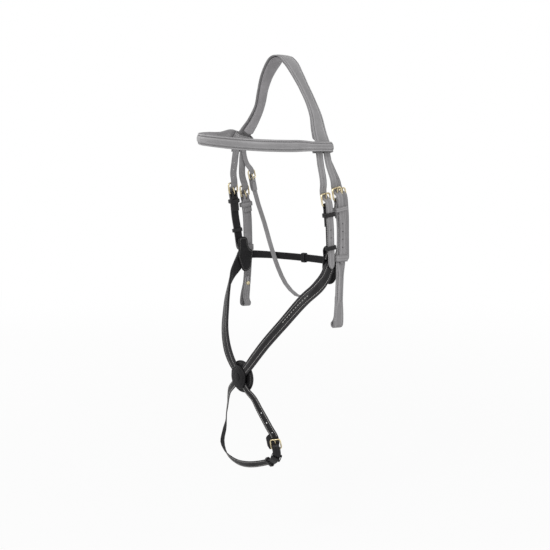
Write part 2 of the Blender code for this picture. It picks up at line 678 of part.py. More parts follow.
def chin_line():
    """From the disc down the near side, under the chin and up the far side to the disc."""
    half, reach, fall = CHIN_HALF, CHIN_REACH, CHIN_FALL
    disc = NOSE_REACH + DISC_SEAT - 2 * SEAM - THIN_LEATHER / 2
    side = [(9.0, -disc, -9.0), (20.0, -disc, -19.0), (0.49 * half, -0.97 * NOSE_REACH, -0.2 * fall),
            (0.62 * half, -reach - 11.5, -0.294 * fall), (0.73 * half, -reach - 7.0, -0.388 * fall),
            (0.84 * half, -reach - 3.5, -0.481 * fall), (0.94 * half, -reach + 0.5, -0.581 * fall)]
    out = [(0.0, -1.0, 0.0), (0.05, -1.0, 0.0), (0.25, -0.95, 0.0), (0.45, -0.9, 0.0), (0.55, -0.8, 0.0),
           (0.62, -0.78, 0.0), (0.62, -0.78, 0.0)]
    under = [(0.995 * half, -reach + 2.0, -0.675 * fall), (half, -reach + 4.0, -0.763 * fall),
             (0.87 * half, -reach + 6.0, 26.0 - fall), (0.6 * half, -reach + 8.5, 16.0 - fall),
             (0.27 * half, -reach + 6.0, 6.0 - fall), (0.0, -reach + 2.0, -fall),
             (-0.59 * half, -reach, -fall - 4.0), (-0.93 * half, -reach, 3.0 - fall),
             (-1.1 * half, -reach + 0.5, 18.0 - fall), (-1.03 * half, -reach + 1.0, 44.0 - fall)]
    below = [(0.62, -0.75, -0.05), (0.6, -0.75, -0.15), (0.55, -0.7, -0.4), (0.3, -0.75, -0.55),
             (0.15, -0.85, -0.5), (0.0, -0.9, -0.4), (-0.2, -0.9, -0.4), (-0.6, -0.75, -0.35),
             (-0.9, -0.45, -0.1), (-0.92, -0.4, 0.0)]
    route = side + under + [(-x, y, z) for x, y, z in side[::-1]]
    sides = out + below + [(-x, y, z) for x, y, z in out[::-1]]
    return Line([(x, y, z - DISC_DROP) for x, y, z in route], sides)


def jaw_line():
    """From the near junction round behind the jaw to the far junction."""
    half, drop, reach = JUNCTION_FACE + THIN_LEATHER / 2, JUNCTION_DROP, JAW_REACH
    near = [(half, 10.8, -drop), (half, 21.0, -drop - 0.5), (half - 3.5, 31.0, -drop - 1.0),
            (half - 10.5, 40.0, -drop - 1.5), (half - 19.0, 48.5, -drop - 2.0),
            (0.68 * half, 0.82 * reach, -drop - 2.5), (0.38 * half, 0.96 * reach, -drop - 3.0)]
    out = [(1.0, 0.0, 0.0), (1.0, 0.05, 0.0), (0.9, 0.45, 0.0), (0.8, 0.6, 0.0), (0.7, 0.7, 0.0),
           (0.5, 0.85, 0.0),
           (0.2, 1.0, 0.0)]
    points = near + [(0.0, reach, -drop - 3.0)] + [(-x, y, z) for x, y, z in near[::-1]]
    sides = out + [(0.0, 1.0, 0.0)] + [(-x, y, z) for x, y, z in out[::-1]]
    return Line(points, sides)


def make_noseband_side(side, line):
    name = side + "_noseband"
    buckle = Buckle(name, line, line.where(2, -NOSE_BUCKLE_DROP[side]), NOSE_BILLET_WIDTH)
    billet = lay_strap(name + "_billet", line,
                       [(1.0, 0.0, NOSE_BILLET_WIDTH), (30.0, 0.0, NOSE_BILLET_WIDTH)]
                       + buckle.billet(NOSE_BILLET_WIDTH, min(line.length - 2.0, buckle.s + 108.0)),
                       LEATHER,
                       grey_leather(name), tips=(0.0, 11.0))
    buckle.hole_billet(billet)
    punch(billet, line, [buckle.s - 30.0 - 13.0 * k for k in range(3)] + [buckle.s + 40.0, buckle.s + 53.0])
    dip = line.where(2, -JUNCTION_DROP + 24.0)
    last = dip + 13.0
    seat = JUNCTION_FACE + LEATHER / 2 - abs(line.at(last)[0][0])
    hanger = lay_strap(side + "_hanger", line,
                       buckle.chape(34.0, NOSE_BILLET_WIDTH - 1.5, HANGER_WIDTH)
                       + [(dip - 8.0, SEAM / 2 + LEATHER / 2, HANGER_WIDTH),
                          (dip, SEAM / 2 + LEATHER / 2, HANGER_WIDTH),
                          (last - 7.0, 0.55 * seat, HANGER_WIDTH),
                          (last - 2.0, seat, HANGER_WIDTH), (last, seat, HANGER_WIDTH)],
                       LEATHER, black_leather(side + "_hanger"))
    buckle.slot_chape(hanger)
    keeper(name + "_fixed_keeper", buckle, 15.5, HANGER_WIDTH, black_leather(name + "_fixed_keeper"))
    keeper(name + "_runner", buckle, 70.0, HANGER_WIDTH, black_leather(name + "_runner"), both=False)


def make_cheek_side(side, line):
    name = side + "_cheek"
    buckle = Buckle(name, line, line.where(2, -CHEEK_BUCKLE_DROP), CHEEK_BILLET_WIDTH)
    billet = lay_strap(name + "_billet", line,
                       [(2.0, 0.0, CHEEK_BILLET_WIDTH), (30.0, 0.0, CHEEK_BILLET_WIDTH)]
                       + buckle.billet(CHEEK_BILLET_WIDTH, buckle.s + 106.0), LEATHER,
                       grey_leather(name), tips=(0.0, 10.0))
    buckle.hole_billet(billet)
    punch(billet, line, [buckle.s + 40.0 + 13.0 * k for k in range(4)])
    fold = SEAM / 2 + LEATHER / 2
    ring = BIT_LOOP / 2 + LEATHER / 2
    low = line.where(2, -BIT_DROP[side]) - ring
    profile = buckle.chape(30.0, CHEEK_BILLET_WIDTH - 1.0, CHEEK_WIDTH)
    profile += [(buckle.s + 108.0, fold, CHEEK_WIDTH), (buckle.s + 124.0, fold, CHEEK_ROLL_WIDTH),
                (low - 38.0, fold, CHEEK_ROLL_WIDTH),
                (low - 26.0, fold, 0.5 * (CHEEK_ROLL_WIDTH + BIT_END_WIDTH)),
                (low - 16.0, fold, BIT_END_WIDTH - 1.0), (low - 5.0, fold, BIT_END_WIDTH)]
    for step in range(9):
        angle = math.radians(22.5 * step)
        profile.append((low + ring * math.sin(angle), fold - ring + ring * math.cos(angle),
                        BIT_END_WIDTH - 1.5 - 0.7 * step))
    profile += [(low - 7.0, -fold - 0.6 * ring, CHEEK_ROLL_WIDTH + 1.0),
                (low - 16.0, -fold - 0.4, CHEEK_ROLL_WIDTH),
                (low - 26.0, -fold, CHEEK_ROLL_WIDTH - 2.0), (low - 34.0, -fold, CHEEK_ROLL_WIDTH - 3.0),
                (low - 52.0, -fold, CHEEK_ROLL_WIDTH - 3.0)]
    piece = lay_strap(side + "_cheekpiece", line, profile, LEATHER, grey_leather(side + "_cheekpiece"),
                      tips=(0.0, 8.0))
    buckle.slot_chape(piece)
    hook = low - 38.0
    punch(piece, line, [hook], HOOK_RADIUS + SEAM)
    top = fold + LEATHER / 2 + SEAM
    turned(side + "_hook_stud", [(0.0, top + 0.9), (2.6, top + 0.9), (2.9, top), (HOOK_RADIUS, top),
                                 (HOOK_RADIUS, -top), (3.8, -top), (3.4, -top - 1.4), (0.0, -top - 1.8)],
           line.frame(hook), brass(side + "_hook_stud"), 16)
    keeper(name + "_fixed_keeper", buckle, 16.0, CHEEK_WIDTH, grey_leather(name + "_fixed_keeper"),
           height=8.0)
    keeper(name + "_runner", buckle, 97.0, CHEEK_WIDTH, grey_leather(name + "_runner"), both=False,
           height=11.0)


def make_throat():
    line = throat_strap_line()
    buckles = {}
    for side in ("near", "far"):
        route = throat_billet_line(side)
        name = side + "_throat"
        buckle = Buckle(name, route, route.where(2, -THROAT_BUCKLE_DROP[side]), THROAT_WIDTH, small=True)
        profile = ([(1.0, 0.0, THROAT_WIDTH), (20.0, 0.0, THROAT_WIDTH)]
                   + buckle.billet(THROAT_WIDTH, route.length))
        profile = [row for row in profile if row[0] < route.length - 5.0] + [profile[-1]]
        billet = lay_strap(name + "_billet", route, profile, THIN_LEATHER, grey_leather(name),
                           tips=(0.0, 7.0))
        buckle.hole_billet(billet)
        buckles[side] = buckle
    near, far = buckles["near"], buckles["far"]
    start = line.where(2, -THROAT_BUCKLE_DROP["near"])
    end = line.where(2, -THROAT_BUCKLE_DROP["far"], line.length / 2)
    first = near.chape(22.0, THROAT_WIDTH - 2.0, THROAT_WIDTH, 22.0, start)
    second = [(2 * end - s, n, w)
              for s, n, w in far.chape(22.0, THROAT_WIDTH - 2.0, THROAT_WIDTH, 22.0, end)]
    strap = lay_strap("throat_strap", line, first + second[::-1], THIN_LEATHER,
                      grey_leather("throat_strap"))
    near.slot_chape(strap)
    far.slot_chape(strap)


def make_browband(crown):
    inner_edge = -(LEATHER / 2 + 2 * SEAM + THIN_LEATHER + 0.3)
    outer_edge = CROWN_PARTING + LEATHER / 2 + CROWN_SWELL
    size = (CROWN_END_WIDTH + 2 * LOOP_END_SLACK, outer_edge - inner_edge + 2 * LOOP_SLACK)
    for side, sign in (("near", 1.0), ("far", -1.0)):
        lay_loop(side + "_browband_loop", crown.frame(loop_place(crown, sign)), size, BROWBAND_END_WIDTH,
                 KEEPER_LEATHER, grey_leather(side + "_browband_loop"),
                 (0.0, (outer_edge + inner_edge) / 2), 3.0)
    line = browband_line(crown, outer_edge + LOOP_SLACK + KEEPER_LEATHER + 1.5 * SEAM + LEATHER / 2)
    flat, padded = 42.0, 70.0

    def share(s):
        return min(1.0, max(0.0, (min(s, line.length - s) - flat) / (padded - flat)))

    def swell(s):
        return BROWBAND_ROLL * share(s)

    ends = [0.0, 1.2, 4.0, 20.0, 38.0]
    marks = ends + [float(s) for s in np.linspace(flat, line.length - flat, 23)]
    marks += [line.length - s for s in ends[::-1]]
    round_end = {0.0: 9.0, 1.2: 13.0, line.length - 1.2: 13.0, line.length: 9.0}
    rows = [(m, 0.0, round_end.get(m, BROWBAND_END_WIDTH + share(m) * (BROWBAND_WIDTH - BROWBAND_END_WIDTH)))
            for m in marks]
    lay_strap("browband_front", line, rows, LEATHER, grey_leather("browband_front"), columns=4,
              rounding=swell,
              marks=marks)
    back = -LEATHER / 2 - 1.5 * SEAM - BROWBAND_PAD / 2
    rows = [(m, back, width - 1.5) for m, _, width in rows if flat + 4.0 < m < line.length - flat - 4.0]
    lay_strap("browband_lining", line, rows, BROWBAND_PAD, lining_leather("browband"), marks=marks)


def make_noseband():
    near = nose_line()
    for side, line in (("near", near), ("far", near.mirrored())):
        widths = [(0.0, 17.0), (10.0, 21.0), (24.0, NOSE_STRAP_WIDTH + 1.5), (60.0, NOSE_STRAP_WIDTH),
                  (line.length - 40.0, NOSE_STRAP_WIDTH - 1.0), (line.length, 16.0)]
        lay_strap(side + "_nose_strap", line, [(s, 0.0, w) for s, w in widths], NOSE_PAD,
                  black_leather(side + "_nose_strap"), tips=(8.0, 0.0), columns=2, rounding=0.5)
        make_junction(side, 1.0 if side == "near" else -1.0)
    place = Matrix.Rotation(math.pi / 2, 4, "X")
    place.translation = Vector((0.0, -NOSE_REACH, -DISC_DROP)) * MM
    radius, bore = DISC_DIAMETER / 2, RIVET_RADIUS + SEAM
    cushion = DISC_PAD_DIAMETER / 2
    face = DISC_SEAT + DISC_THICKNESS
    turned("nose_disc", [(bore, face + 0.8), (0.5 * radius, face + 0.6), (radius - 2.0, face - 0.4),
                         (radius, face - 1.6), (radius, DISC_SEAT + 0.4), (radius - 0.5, DISC_SEAT),
                         (bore, DISC_SEAT)], place, black_leather("nose_disc"), 32)
    back = -NOSE_PAD / 2 - SEAM
    rear = back - DISC_PAD
    foot = 2.0 * RIVET_RADIUS
    recess = foot + 2 * SEAM
    turned("nose_disc_pad", [(bore, back), (cushion - 1.5, back), (cushion + 0.5, back - 1.8),
                             (cushion - 1.0, rear + 0.6), (cushion - 4.0, rear), (recess, rear),
                             (recess, rear + RIVET_RECESS), (bore, rear + RIVET_RECESS)],
           place @ Matrix.Diagonal((DISC_PAD_SPREAD, 1.0, 1.0, 1.0)), black_leather("nose_disc_pad"), 32)
    front, tail = face + 0.8 + SEAM, rear + RIVET_RECESS - SEAM
    turned("nose_disc_rivet", [(0.0, front + 2.2), (4.5, front + 1.7), (7.0, front + 0.5), (7.0, front),
                               (RIVET_RADIUS, front), (RIVET_RADIUS, tail), (foot, tail),
                               (foot - 0.4, tail - 1.0), (0.0, tail - 1.3)], place,
           black_leather("nose_disc_rivet"), 20)


def make_junction(side, sign):
    """The sewn plate that joins the hanger, the nose strap and the jaw strap, on their inner side."""
    drop = -JUNCTION_DROP
    hanger, jaw = HANGER_WIDTH / 2 - 0.5, JAW_WIDTH / 2
    outline = [(-2.5 - hanger, drop + 31.0), (-2.0 + hanger, drop + 31.0), (1.0 + hanger, drop + 19.0),
               (13.0, drop + jaw + 3.5), (19.0, drop + jaw), (19.0, drop - jaw), (17.5, drop - jaw - 4.0),
               (17.0, drop - 17.0), (15.0, drop - 23.5), (11.0, drop - 28.5), (4.0, drop - 31.0),
               (-2.0, drop - 30.0), (-6.0, drop - 23.5), (-9.5, drop - 15.0), (-13.0, drop - 5.0),
               (-13.0, drop + 4.0), (-11.5, drop + 14.0)]
    data = bpy.data.curves.new(side + "_junction", "CURVE")
    data.dimensions = "2D"
    data.fill_mode = "BOTH"
    data.extrude = JUNCTION_PLATE / 2 * MM
    data.resolution_u = 3
    spline = data.splines.new("BEZIER")
    spline.bezier_points.add(len(outline) - 1)
    for point, (y, z) in zip(spline.bezier_points, outline):
        point.co = (y * MM, z * MM, 0.0)
        point.handle_left_type = "AUTO"
        point.handle_right_type = "AUTO"
    spline.use_cyclic_u = True
    raw = add_object(side + "_junction_outline", data, None)
    made = mesh_from(raw, side + "_junction", black_leather(side + "_junction"))
    inset = JUNCTION_FACE - SEAM - JUNCTION_PLATE / 2
    made.matrix_world = Matrix(((0.0, 0.0, 1.0, sign * inset * MM), (1.0, 0.0, 0.0, 0.0),
                                (0.0, 1.0, 0.0, 0.0), (0.0, 0.0, 0.0, 1.0)))


def make_chin():
    line = chin_line()
    heel = line.where(2, 47.0 - DISC_DROP - CHIN_FALL)
    buckle = Buckle("chin", line, heel, CHIN_WIDTH, small=True)
    end = line.where(0, 40.0, heel)
    billet = lay_strap("near_lower_billet", line, [(2.0, 0.0, CHIN_WIDTH), (20.0, 0.0, CHIN_WIDTH)]
                       + buckle.billet(CHIN_WIDTH, end), THIN_LEATHER, black_leather("near_lower_billet"),
                       tips=(0.0, 9.0), finest=8.0)
    buckle.hole_billet(billet)
    punch(billet, line, [buckle.s - 28.0 - 19.0 * k for k in range(3)])
    strap = lay_strap("chin_strap", line, buckle.chape(24.0, CHIN_WIDTH - 2.0, CHIN_WIDTH, 22.0)
                      + [(line.length / 2, SEAM / 2 + THIN_LEATHER / 2, CHIN_WIDTH),
                         (line.length - 60.0, 0.0, CHIN_WIDTH), (line.length - 2.0, 0.0, CHIN_WIDTH)],
                      THIN_LEATHER, black_leather("chin_strap"), finest=8.0)
    buckle.slot_chape(strap)
    safe = -buckle.behind - THIN_LEATHER - 1.5 * SEAM
    lay_strap("chin_buckle_safe", line.moved_aside(-SAFE_SHIFT),
              [(heel - 28.0, safe, SAFE_WIDTH - 4.0), (heel - 21.0, safe, SAFE_WIDTH),
               (heel - 6.0, safe, SAFE_WIDTH), (heel + 1.0, safe, SAFE_WIDTH - 5.0)],
              THIN_LEATHER, black_leather("chin_buckle_safe"), tips=(5.0, 0.0), finest=8.0)
    keeper("chin_fixed_keeper", buckle, 15.0, CHIN_WIDTH, black_leather("chin_fixed_keeper"), height=6.0,
           room=0.5)
    keeper("chin_runner", buckle, 42.0, CHIN_WIDTH, black_leather("chin_runner"), both=False, height=7.0,
           room=0.8)


def make_jaw():
    line = jaw_line()
    buckle = Buckle("jaw", line, JAW_BUCKLE_RUN, JAW_WIDTH, small=True)
    end = line.where(0, -38.0)
    billet = lay_strap("jaw_billet", line, [(0.0, 0.0, JAW_WIDTH), (12.0, 0.0, JAW_WIDTH)]
                       + buckle.billet(JAW_WIDTH, end), THIN_LEATHER, black_leather("jaw_billet"),
                       tips=(0.0, 8.0),
                       finest=8.0)
    buckle.hole_billet(billet)
    strap = lay_strap("jaw_strap", line, buckle.chape(24.0, JAW_WIDTH - 2.0, JAW_WIDTH, 22.0)
                      + [(line.length / 2, SEAM / 2 + THIN_LEATHER / 2, JAW_WIDTH),
                         (line.length - 50.0, 0.0, JAW_WIDTH), (line.length - 24.0, 0.0, JAW_WIDTH + 1.0),
                         (line.length, 0.0, JAW_WIDTH + 2.0)],
                      THIN_LEATHER, black_leather("jaw_strap"), finest=8.0)
    buckle.slot_chape(strap)
    keeper("jaw_fixed_keeper", buckle, 15.0, JAW_WIDTH, black_leather("jaw_fixed_keeper"), height=6.0,
           room=0.5)
    keeper("jaw_runner", buckle, line.where(0, -29.0) - buckle.s, JAW_WIDTH, black_leather("jaw_runner"),
           both=False, height=8.0, room=0.8)


def pivot(name, place, members):
    """An empty on a joint axis that carries the pieces which move about it."""
    empty = add_object(name, None, None)
    empty.empty_display_size = 0.02
    empty.location = Vector(place) * MM
    for member in members:
        piece = parts.objects[member]
        piece.parent = empty
        piece.matrix_parent_inverse = Matrix.Translation(-empty.location)
    return empty


def add_pivots():
    """Every swinging group hangs from an empty; tongues and runners turn or slide about their own origins."""
    head = -CROWN_END_DROP + 4.5
    sides = ("near", "far")
    pivot("browband_pivot", (0.0, -12.5, -BROW_DROP),
          ["browband_front", "browband_lining", "near_browband_loop", "far_browband_loop"])
    for side, sign in (("near", 1.0), ("far", -1.0)):
        pivot(side + "_cheek_pivot", (sign * CROWN_END_HALF, -4.0, head),
              [side + "_cheekpiece", side + "_hook_stud"]
              + [side + "_cheek_" + part for part in ("billet", "frame", "tongue", "fixed_keeper",
                                                      "runner")])
    noseband = [side + "_" + part for side in sides for part in
                ("noseband_billet", "noseband_frame", "noseband_tongue", "noseband_fixed_keeper",
                 "noseband_runner",
                 "hanger", "junction", "nose_strap")]
    swing = pivot("noseband_pivot", (0.0, -20.0, head),
                  noseband + ["nose_disc", "nose_disc_pad", "nose_disc_rivet"])
    pivot("throat_pivot", (0.0, -4.0, head),
          ["throat_strap"] + [side + "_throat_" + part for side in sides for part in ("billet", "frame",
                                                                                      "tongue")])
    chin = pivot("chin_pivot", (0.0, -NOSE_REACH, -DISC_DROP),
                 ["near_lower_billet", "chin_strap", "chin_frame", "chin_tongue", "chin_fixed_keeper",
                  "chin_runner",
                  "chin_buckle_safe"])
    jaw = pivot("jaw_pivot", (0.0, 10.8, -JUNCTION_DROP),
                ["jaw_billet", "jaw_strap", "jaw_frame", "jaw_tongue", "jaw_fixed_keeper", "jaw_runner"])
    for empty in (chin, jaw):
        empty.parent = swing
        empty.matrix_parent_inverse = Matrix.Translation(-swing.location)


def build():
    clear_scene()
    crown, widths = crown_line()
    make_crown(crown, widths)
    near_noseband, near_cheek = noseband_line(), cheek_line()
    for side, noseband, cheek in (("near", near_noseband, near_cheek),
                                  ("far", near_noseband.mirrored(), near_cheek.mirrored())):
        make_noseband_side(side, noseband)
        make_cheek_side(side, cheek)
    make_browband(crown)
    make_noseband()
    make_chin()
    make_jaw()
    make_throat()
    add_pivots()


if __name__ == "__main__":
    build()
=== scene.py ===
"""Figure eight bridle: leather, padding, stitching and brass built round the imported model."""

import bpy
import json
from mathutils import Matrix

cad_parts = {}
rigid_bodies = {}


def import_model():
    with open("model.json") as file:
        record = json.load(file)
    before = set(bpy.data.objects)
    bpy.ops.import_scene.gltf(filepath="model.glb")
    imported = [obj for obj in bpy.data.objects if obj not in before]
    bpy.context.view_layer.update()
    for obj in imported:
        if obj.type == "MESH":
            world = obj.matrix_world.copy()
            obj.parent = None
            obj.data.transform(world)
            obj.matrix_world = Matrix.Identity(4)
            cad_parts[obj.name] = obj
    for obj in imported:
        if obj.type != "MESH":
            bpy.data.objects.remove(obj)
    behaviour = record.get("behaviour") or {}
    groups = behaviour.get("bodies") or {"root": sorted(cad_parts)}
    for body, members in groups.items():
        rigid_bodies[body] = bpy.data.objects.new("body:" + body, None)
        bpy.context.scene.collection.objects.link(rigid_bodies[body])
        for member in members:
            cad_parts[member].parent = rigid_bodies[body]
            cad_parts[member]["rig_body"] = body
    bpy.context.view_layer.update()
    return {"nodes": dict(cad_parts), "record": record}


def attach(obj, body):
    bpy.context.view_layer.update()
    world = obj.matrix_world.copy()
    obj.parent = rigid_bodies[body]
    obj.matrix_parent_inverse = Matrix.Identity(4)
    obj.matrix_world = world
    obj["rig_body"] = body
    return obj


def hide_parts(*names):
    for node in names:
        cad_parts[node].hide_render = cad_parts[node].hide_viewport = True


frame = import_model()

import copy
import json
import math

import bmesh
import bpy
import numpy as np
from bpy.props import FloatProperty, FloatVectorProperty, PointerProperty
from mathutils import Matrix, Vector

bl_info = {
    "name": "Figure Eight Bridle",
    "version": (1, 0, 0),
    "blender": (4, 5, 0),
    "location": "3D View > Sidebar > Bridle",
    "description": "Builds a stitched leather figure eight bridle piece by piece",
    "category": "Add Mesh",
}

SLOTS = {row["node"]: row["material_slot"] for row in frame["record"]["subparts"]}
MM = 0.001
OUT = (1, 0, 0)
SIDES = (("near", 1), ("far", -1))

# Levels below the poll, in millimetres
BROW_DROP = 140.5
CROWN_END_DROP = BROW_DROP + 14
CHEEK_BUCKLE_DROP = 234.5
NOSE_BUCKLE_DROP = {"near": 243.5, "far": 228.5}
THROAT_BUCKLE_DROP = {"near": 232.5, "far": 202.5}
THROAT_TAIL_DROP = {"near": 337, "far": 222}
JUNCTION_DROP = 343.5
BIT_DROP = {"near": 446.5, "far": 441.5}
DISC_DROP = 539.5
CHIN_FALL = 160

# Half widths of the head and reaches before and behind the poll
CROWN_END_HALF = 115.5
BUCKLE_HALF = CROWN_END_HALF + 12.5
JUNCTION_HALF = CROWN_END_HALF + 7.2
BIT_HALF = CROWN_END_HALF + 15.5
THROAT_HALF = CROWN_END_HALF + 1.5
CHIN_HALF = 74.5
BROWBAND_REACH = 143
NOSE_REACH = 95.5
CHIN_REACH = 77
JAW_REACH = 70
JAW_BUCKLE_RUN = 74
BROW_TILT = 0.09

# Widths and thicknesses of the straps
CROWN_TOP_WIDTH, CROWN_WAIST_WIDTH, CROWN_END_WIDTH, CROWN_PAD_INSET = 33, 23, 31, 3
BROWBAND_WIDTH, BROWBAND_END_WIDTH = 19, 16
HANGER_WIDTH, NOSE_BILLET_WIDTH = 16, 14
CHEEK_WIDTH, CHEEK_ROLL_WIDTH, CHEEK_BILLET_WIDTH, BIT_END_WIDTH = 20, 17, 14, 22
NOSE_STRAP_WIDTH, CHIN_WIDTH, JAW_WIDTH, THROAT_WIDTH = 20, 13, 13, 10
SAFE_WIDTH, SAFE_SHIFT = 21, 6
LEATHER, THIN_LEATHER, KEEPER_LEATHER = 2.2, 1.8, 1.4
CROWN_PAD, NOSE_PAD, BROWBAND_PAD = 4.1, 4.4, 3
SEAM, RUNNING = 0.3, 0.5
BAR_RADIUS, THIN_BAR_RADIUS, TONGUE_RADIUS = 1.5, 1.25, 1.1
BUCKLE_LENGTH, SMALL_BUCKLE_LENGTH = 19, 16
DISC_DIAMETER, DISC_PAD_DIAMETER, DISC_PAD_SPREAD, DISC_THICKNESS, DISC_PAD = 40, 55, 1.12, 3, 5
RIVET_RADIUS, RIVET_RECESS, HOOK_RADIUS, BIT_LOOP = 2.2, 2, 1.6, 8
JUNCTION_PLATE, BROWBAND_ROLL, CROWN_SWELL = 2.2, 2.5, 0.9
THREAD_PROUD, PUNCH_RADIUS, PUNCH_PITCH, DISC_BOSS = 0.22, 1.2, 13, 10.8
LOOP_SLACK, LOOP_END_SLACK, POLL_FLAT = 0.9, 2.2, 10
PUNCH_LENGTH, PLATE_EDGE = 26, 0.35
SWEPT_CREASE, TURNED_CREASE = 55, 40      # degrees above which a piece's edges stay sharp
PAD_DEPTH = -LEATHER / 2 - SEAM - CROWN_PAD / 2
CROWN_PARTING = 1.5 * LEATHER / 2 + LEATHER / 2 + SEAM
JUNCTION_FACE = JUNCTION_HALF - NOSE_PAD / 2
DISC_SEAT = NOSE_PAD / 2 + 0.5 + SEAM
DISC_FACE, DISC_BACK = DISC_SEAT + DISC_THICKNESS, -NOSE_PAD / 2 - SEAM
RIVET_BORE, RIVET_FOOT = RIVET_RADIUS + SEAM, 2 * RIVET_RADIUS
THROAT_LEAN = {"near": 33, "far": 19}
BORDER = {"crease": 2.1, "depth": 0.35, "groove": 0.9}      # the stitched groove of a narrow strap
SMALL_SEAM_START = 48

# The photograph's camera
CAMERA_PLACE = (1.1732, -0.9361, -0.1863)
CAMERA_AZIMUTH, CAMERA_ELEVATION = 52, 7
CAMERA_FOCAL_PIXELS, PHOTO_PIXELS, SENSOR = 857, 550, 36
FLOOR_LEVEL = -0.86


class BridleSizes(bpy.types.PropertyGroup):
    """Sizes of the saddler's finishing, in metres."""
    stitch_spacing: FloatProperty(name="Stitch spacing", description="From one stitch to the next",
                                  default=0.0033, min=0.001, unit="LENGTH")
    stitch_length: FloatProperty(name="Stitch length", description="Length of thread that shows",
                                 default=0.0031, min=0.0005, unit="LENGTH")
    thread: FloatProperty(name="Thread", description="Thickness of the waxed thread",
                          default=0.00105, min=0.0002, unit="LENGTH")
    row_spacing: FloatProperty(name="Row spacing", description="Longest stretch between rows of the straps",
                               default=0.003, min=0.001, unit="LENGTH")


class BridleColours(bpy.types.PropertyGroup):
    """Colours of leather, thread and brass."""
    grey: FloatVectorProperty(name="Grey leather", description="Headpiece, browband and cheeks",
                              default=(0.25, 0.245, 0.25), subtype="COLOR", min=0, max=1)
    black: FloatVectorProperty(name="Black leather", description="Noseband, chin and jaw straps",
                               default=(0.0065, 0.006, 0.0068), subtype="COLOR", min=0, max=1)
    lining: FloatVectorProperty(name="Lining", description="Soft padded backing",
                                default=(0.3, 0.29, 0.3), subtype="COLOR", min=0, max=1)
    thread: FloatVectorProperty(name="Thread", description="Waxed sewing thread",
                                default=(0.42, 0.41, 0.395), subtype="COLOR", min=0, max=1)
    brass: FloatVectorProperty(name="Brass", description="Buckles and studs",
                               default=(0.66, 0.58, 0.38), subtype="COLOR", min=0, max=1)


def sizes():
    return bpy.context.scene.bridle_sizes


def colours():
    return bpy.context.scene.bridle_colours


# Routes of the straps

def unit(vector):
    return np.asarray(vector, float) / np.linalg.norm(vector)


def units(rows):
    """Each row of a table at length one."""
    return rows / np.linalg.norm(rows, axis=1)[:, None]


def ramp(value, length):
    """Rises from 0 to 1 over a length, and stays there."""
    return min(1, max(0, value / length))


def smooth_curve(points, per_span):
    """Dense points of a curve through the given ones, with chord-weighted slopes."""
    points = np.asarray(points, float)
    gaps = np.linalg.norm(np.diff(points[:, :3], axis=0), axis=1)
    knots = np.concatenate([[0], np.cumsum(gaps)])
    slopes = np.gradient(points, knots, axis=0, edge_order=1)
    dense = []
    for i in range(len(gaps)):
        for step in range(per_span):
            f = step / per_span
            h00, h10 = 2 * f ** 3 - 3 * f ** 2 + 1, f ** 3 - 2 * f ** 2 + f
            h01, h11 = 3 * f ** 2 - 2 * f ** 3, f ** 3 - f ** 2
            dense.append(h00 * points[i] + h10 * gaps[i] * slopes[i]
                         + h01 * points[i + 1] + h11 * gaps[i] * slopes[i + 1])
    dense.append(points[-1])
    return np.array(dense)


class Line:
    """A route for straps: chosen points, each with the side that faces away from the horse."""

    def __init__(self, points, outward):
        points = np.asarray(points, float)
        outward = np.asarray(outward, float)
        if outward.ndim == 1:
            outward = np.tile(outward, (len(points), 1))
        table = smooth_curve(np.hstack([points, outward]), 40)
        self.points, self.sides = table[:, :3], table[:, 3:]
        steps = np.linalg.norm(np.diff(self.points, axis=0), axis=1)
        self.marks = np.concatenate([[0], np.cumsum(steps)])
        self.length = float(self.marks[-1])
        self.slopes = np.gradient(self.points, self.marks, axis=0)

    def at(self, s):
        """Point, direction along the line, outward side and across side at arc length s."""
        point = np.array([np.interp(s, self.marks, self.points[:, k]) for k in range(3)])
        along = unit([np.interp(s, self.marks, self.slopes[:, k]) for k in range(3)])
        side = np.array([np.interp(s, self.marks, self.sides[:, k]) for k in range(3)])
        out = unit(side - along * (side @ along))
        if s < 0:
            point = point + along * s
        elif s > self.length:
            point = point + along * (s - self.length)
        return point, along, out, np.cross(out, along)

    def where(self, axis, value, after=0):
        """Arc length past 'after' at which the line first crosses a value along X, Y or Z."""
        gap = self.points[:, axis] - value
        for i in range(len(gap) - 1):
            if self.marks[i] >= after and gap[i] * gap[i + 1] <= 0:
                share = gap[i] / (gap[i] - gap[i + 1]) if gap[i] != gap[i + 1] else 0
                return float(self.marks[i] + share * (self.marks[i + 1] - self.marks[i]))
        raise ValueError("the line does not reach %.1f" % value)

    def frame(self, s):
        """Matrix in millimetres whose X lies across, Y back along the line and Z outward."""
        point, along, out, _ = self.at(s)
        rows = Matrix((np.cross(-along, out), -along, out)).transposed().to_4x4()
        rows.translation = Vector(point)
        return rows

    def moved_aside(self, distance):
        """The same route, shifted across itself."""
        twin = copy.copy(self)
        across = np.cross(self.sides, self.slopes)
        twin.points = self.points + distance * across / np.linalg.norm(across, axis=1)[:, None]
        return twin

    def on(self, side):
        """The route for a side, mirrored where that is the far one."""
        if side == "near":
            return self
        twin, flip = copy.copy(self), np.array([-1, 1, 1])
        twin.points, twin.sides, twin.slopes = self.points * flip, self.sides * flip, self.slopes * flip
        return twin


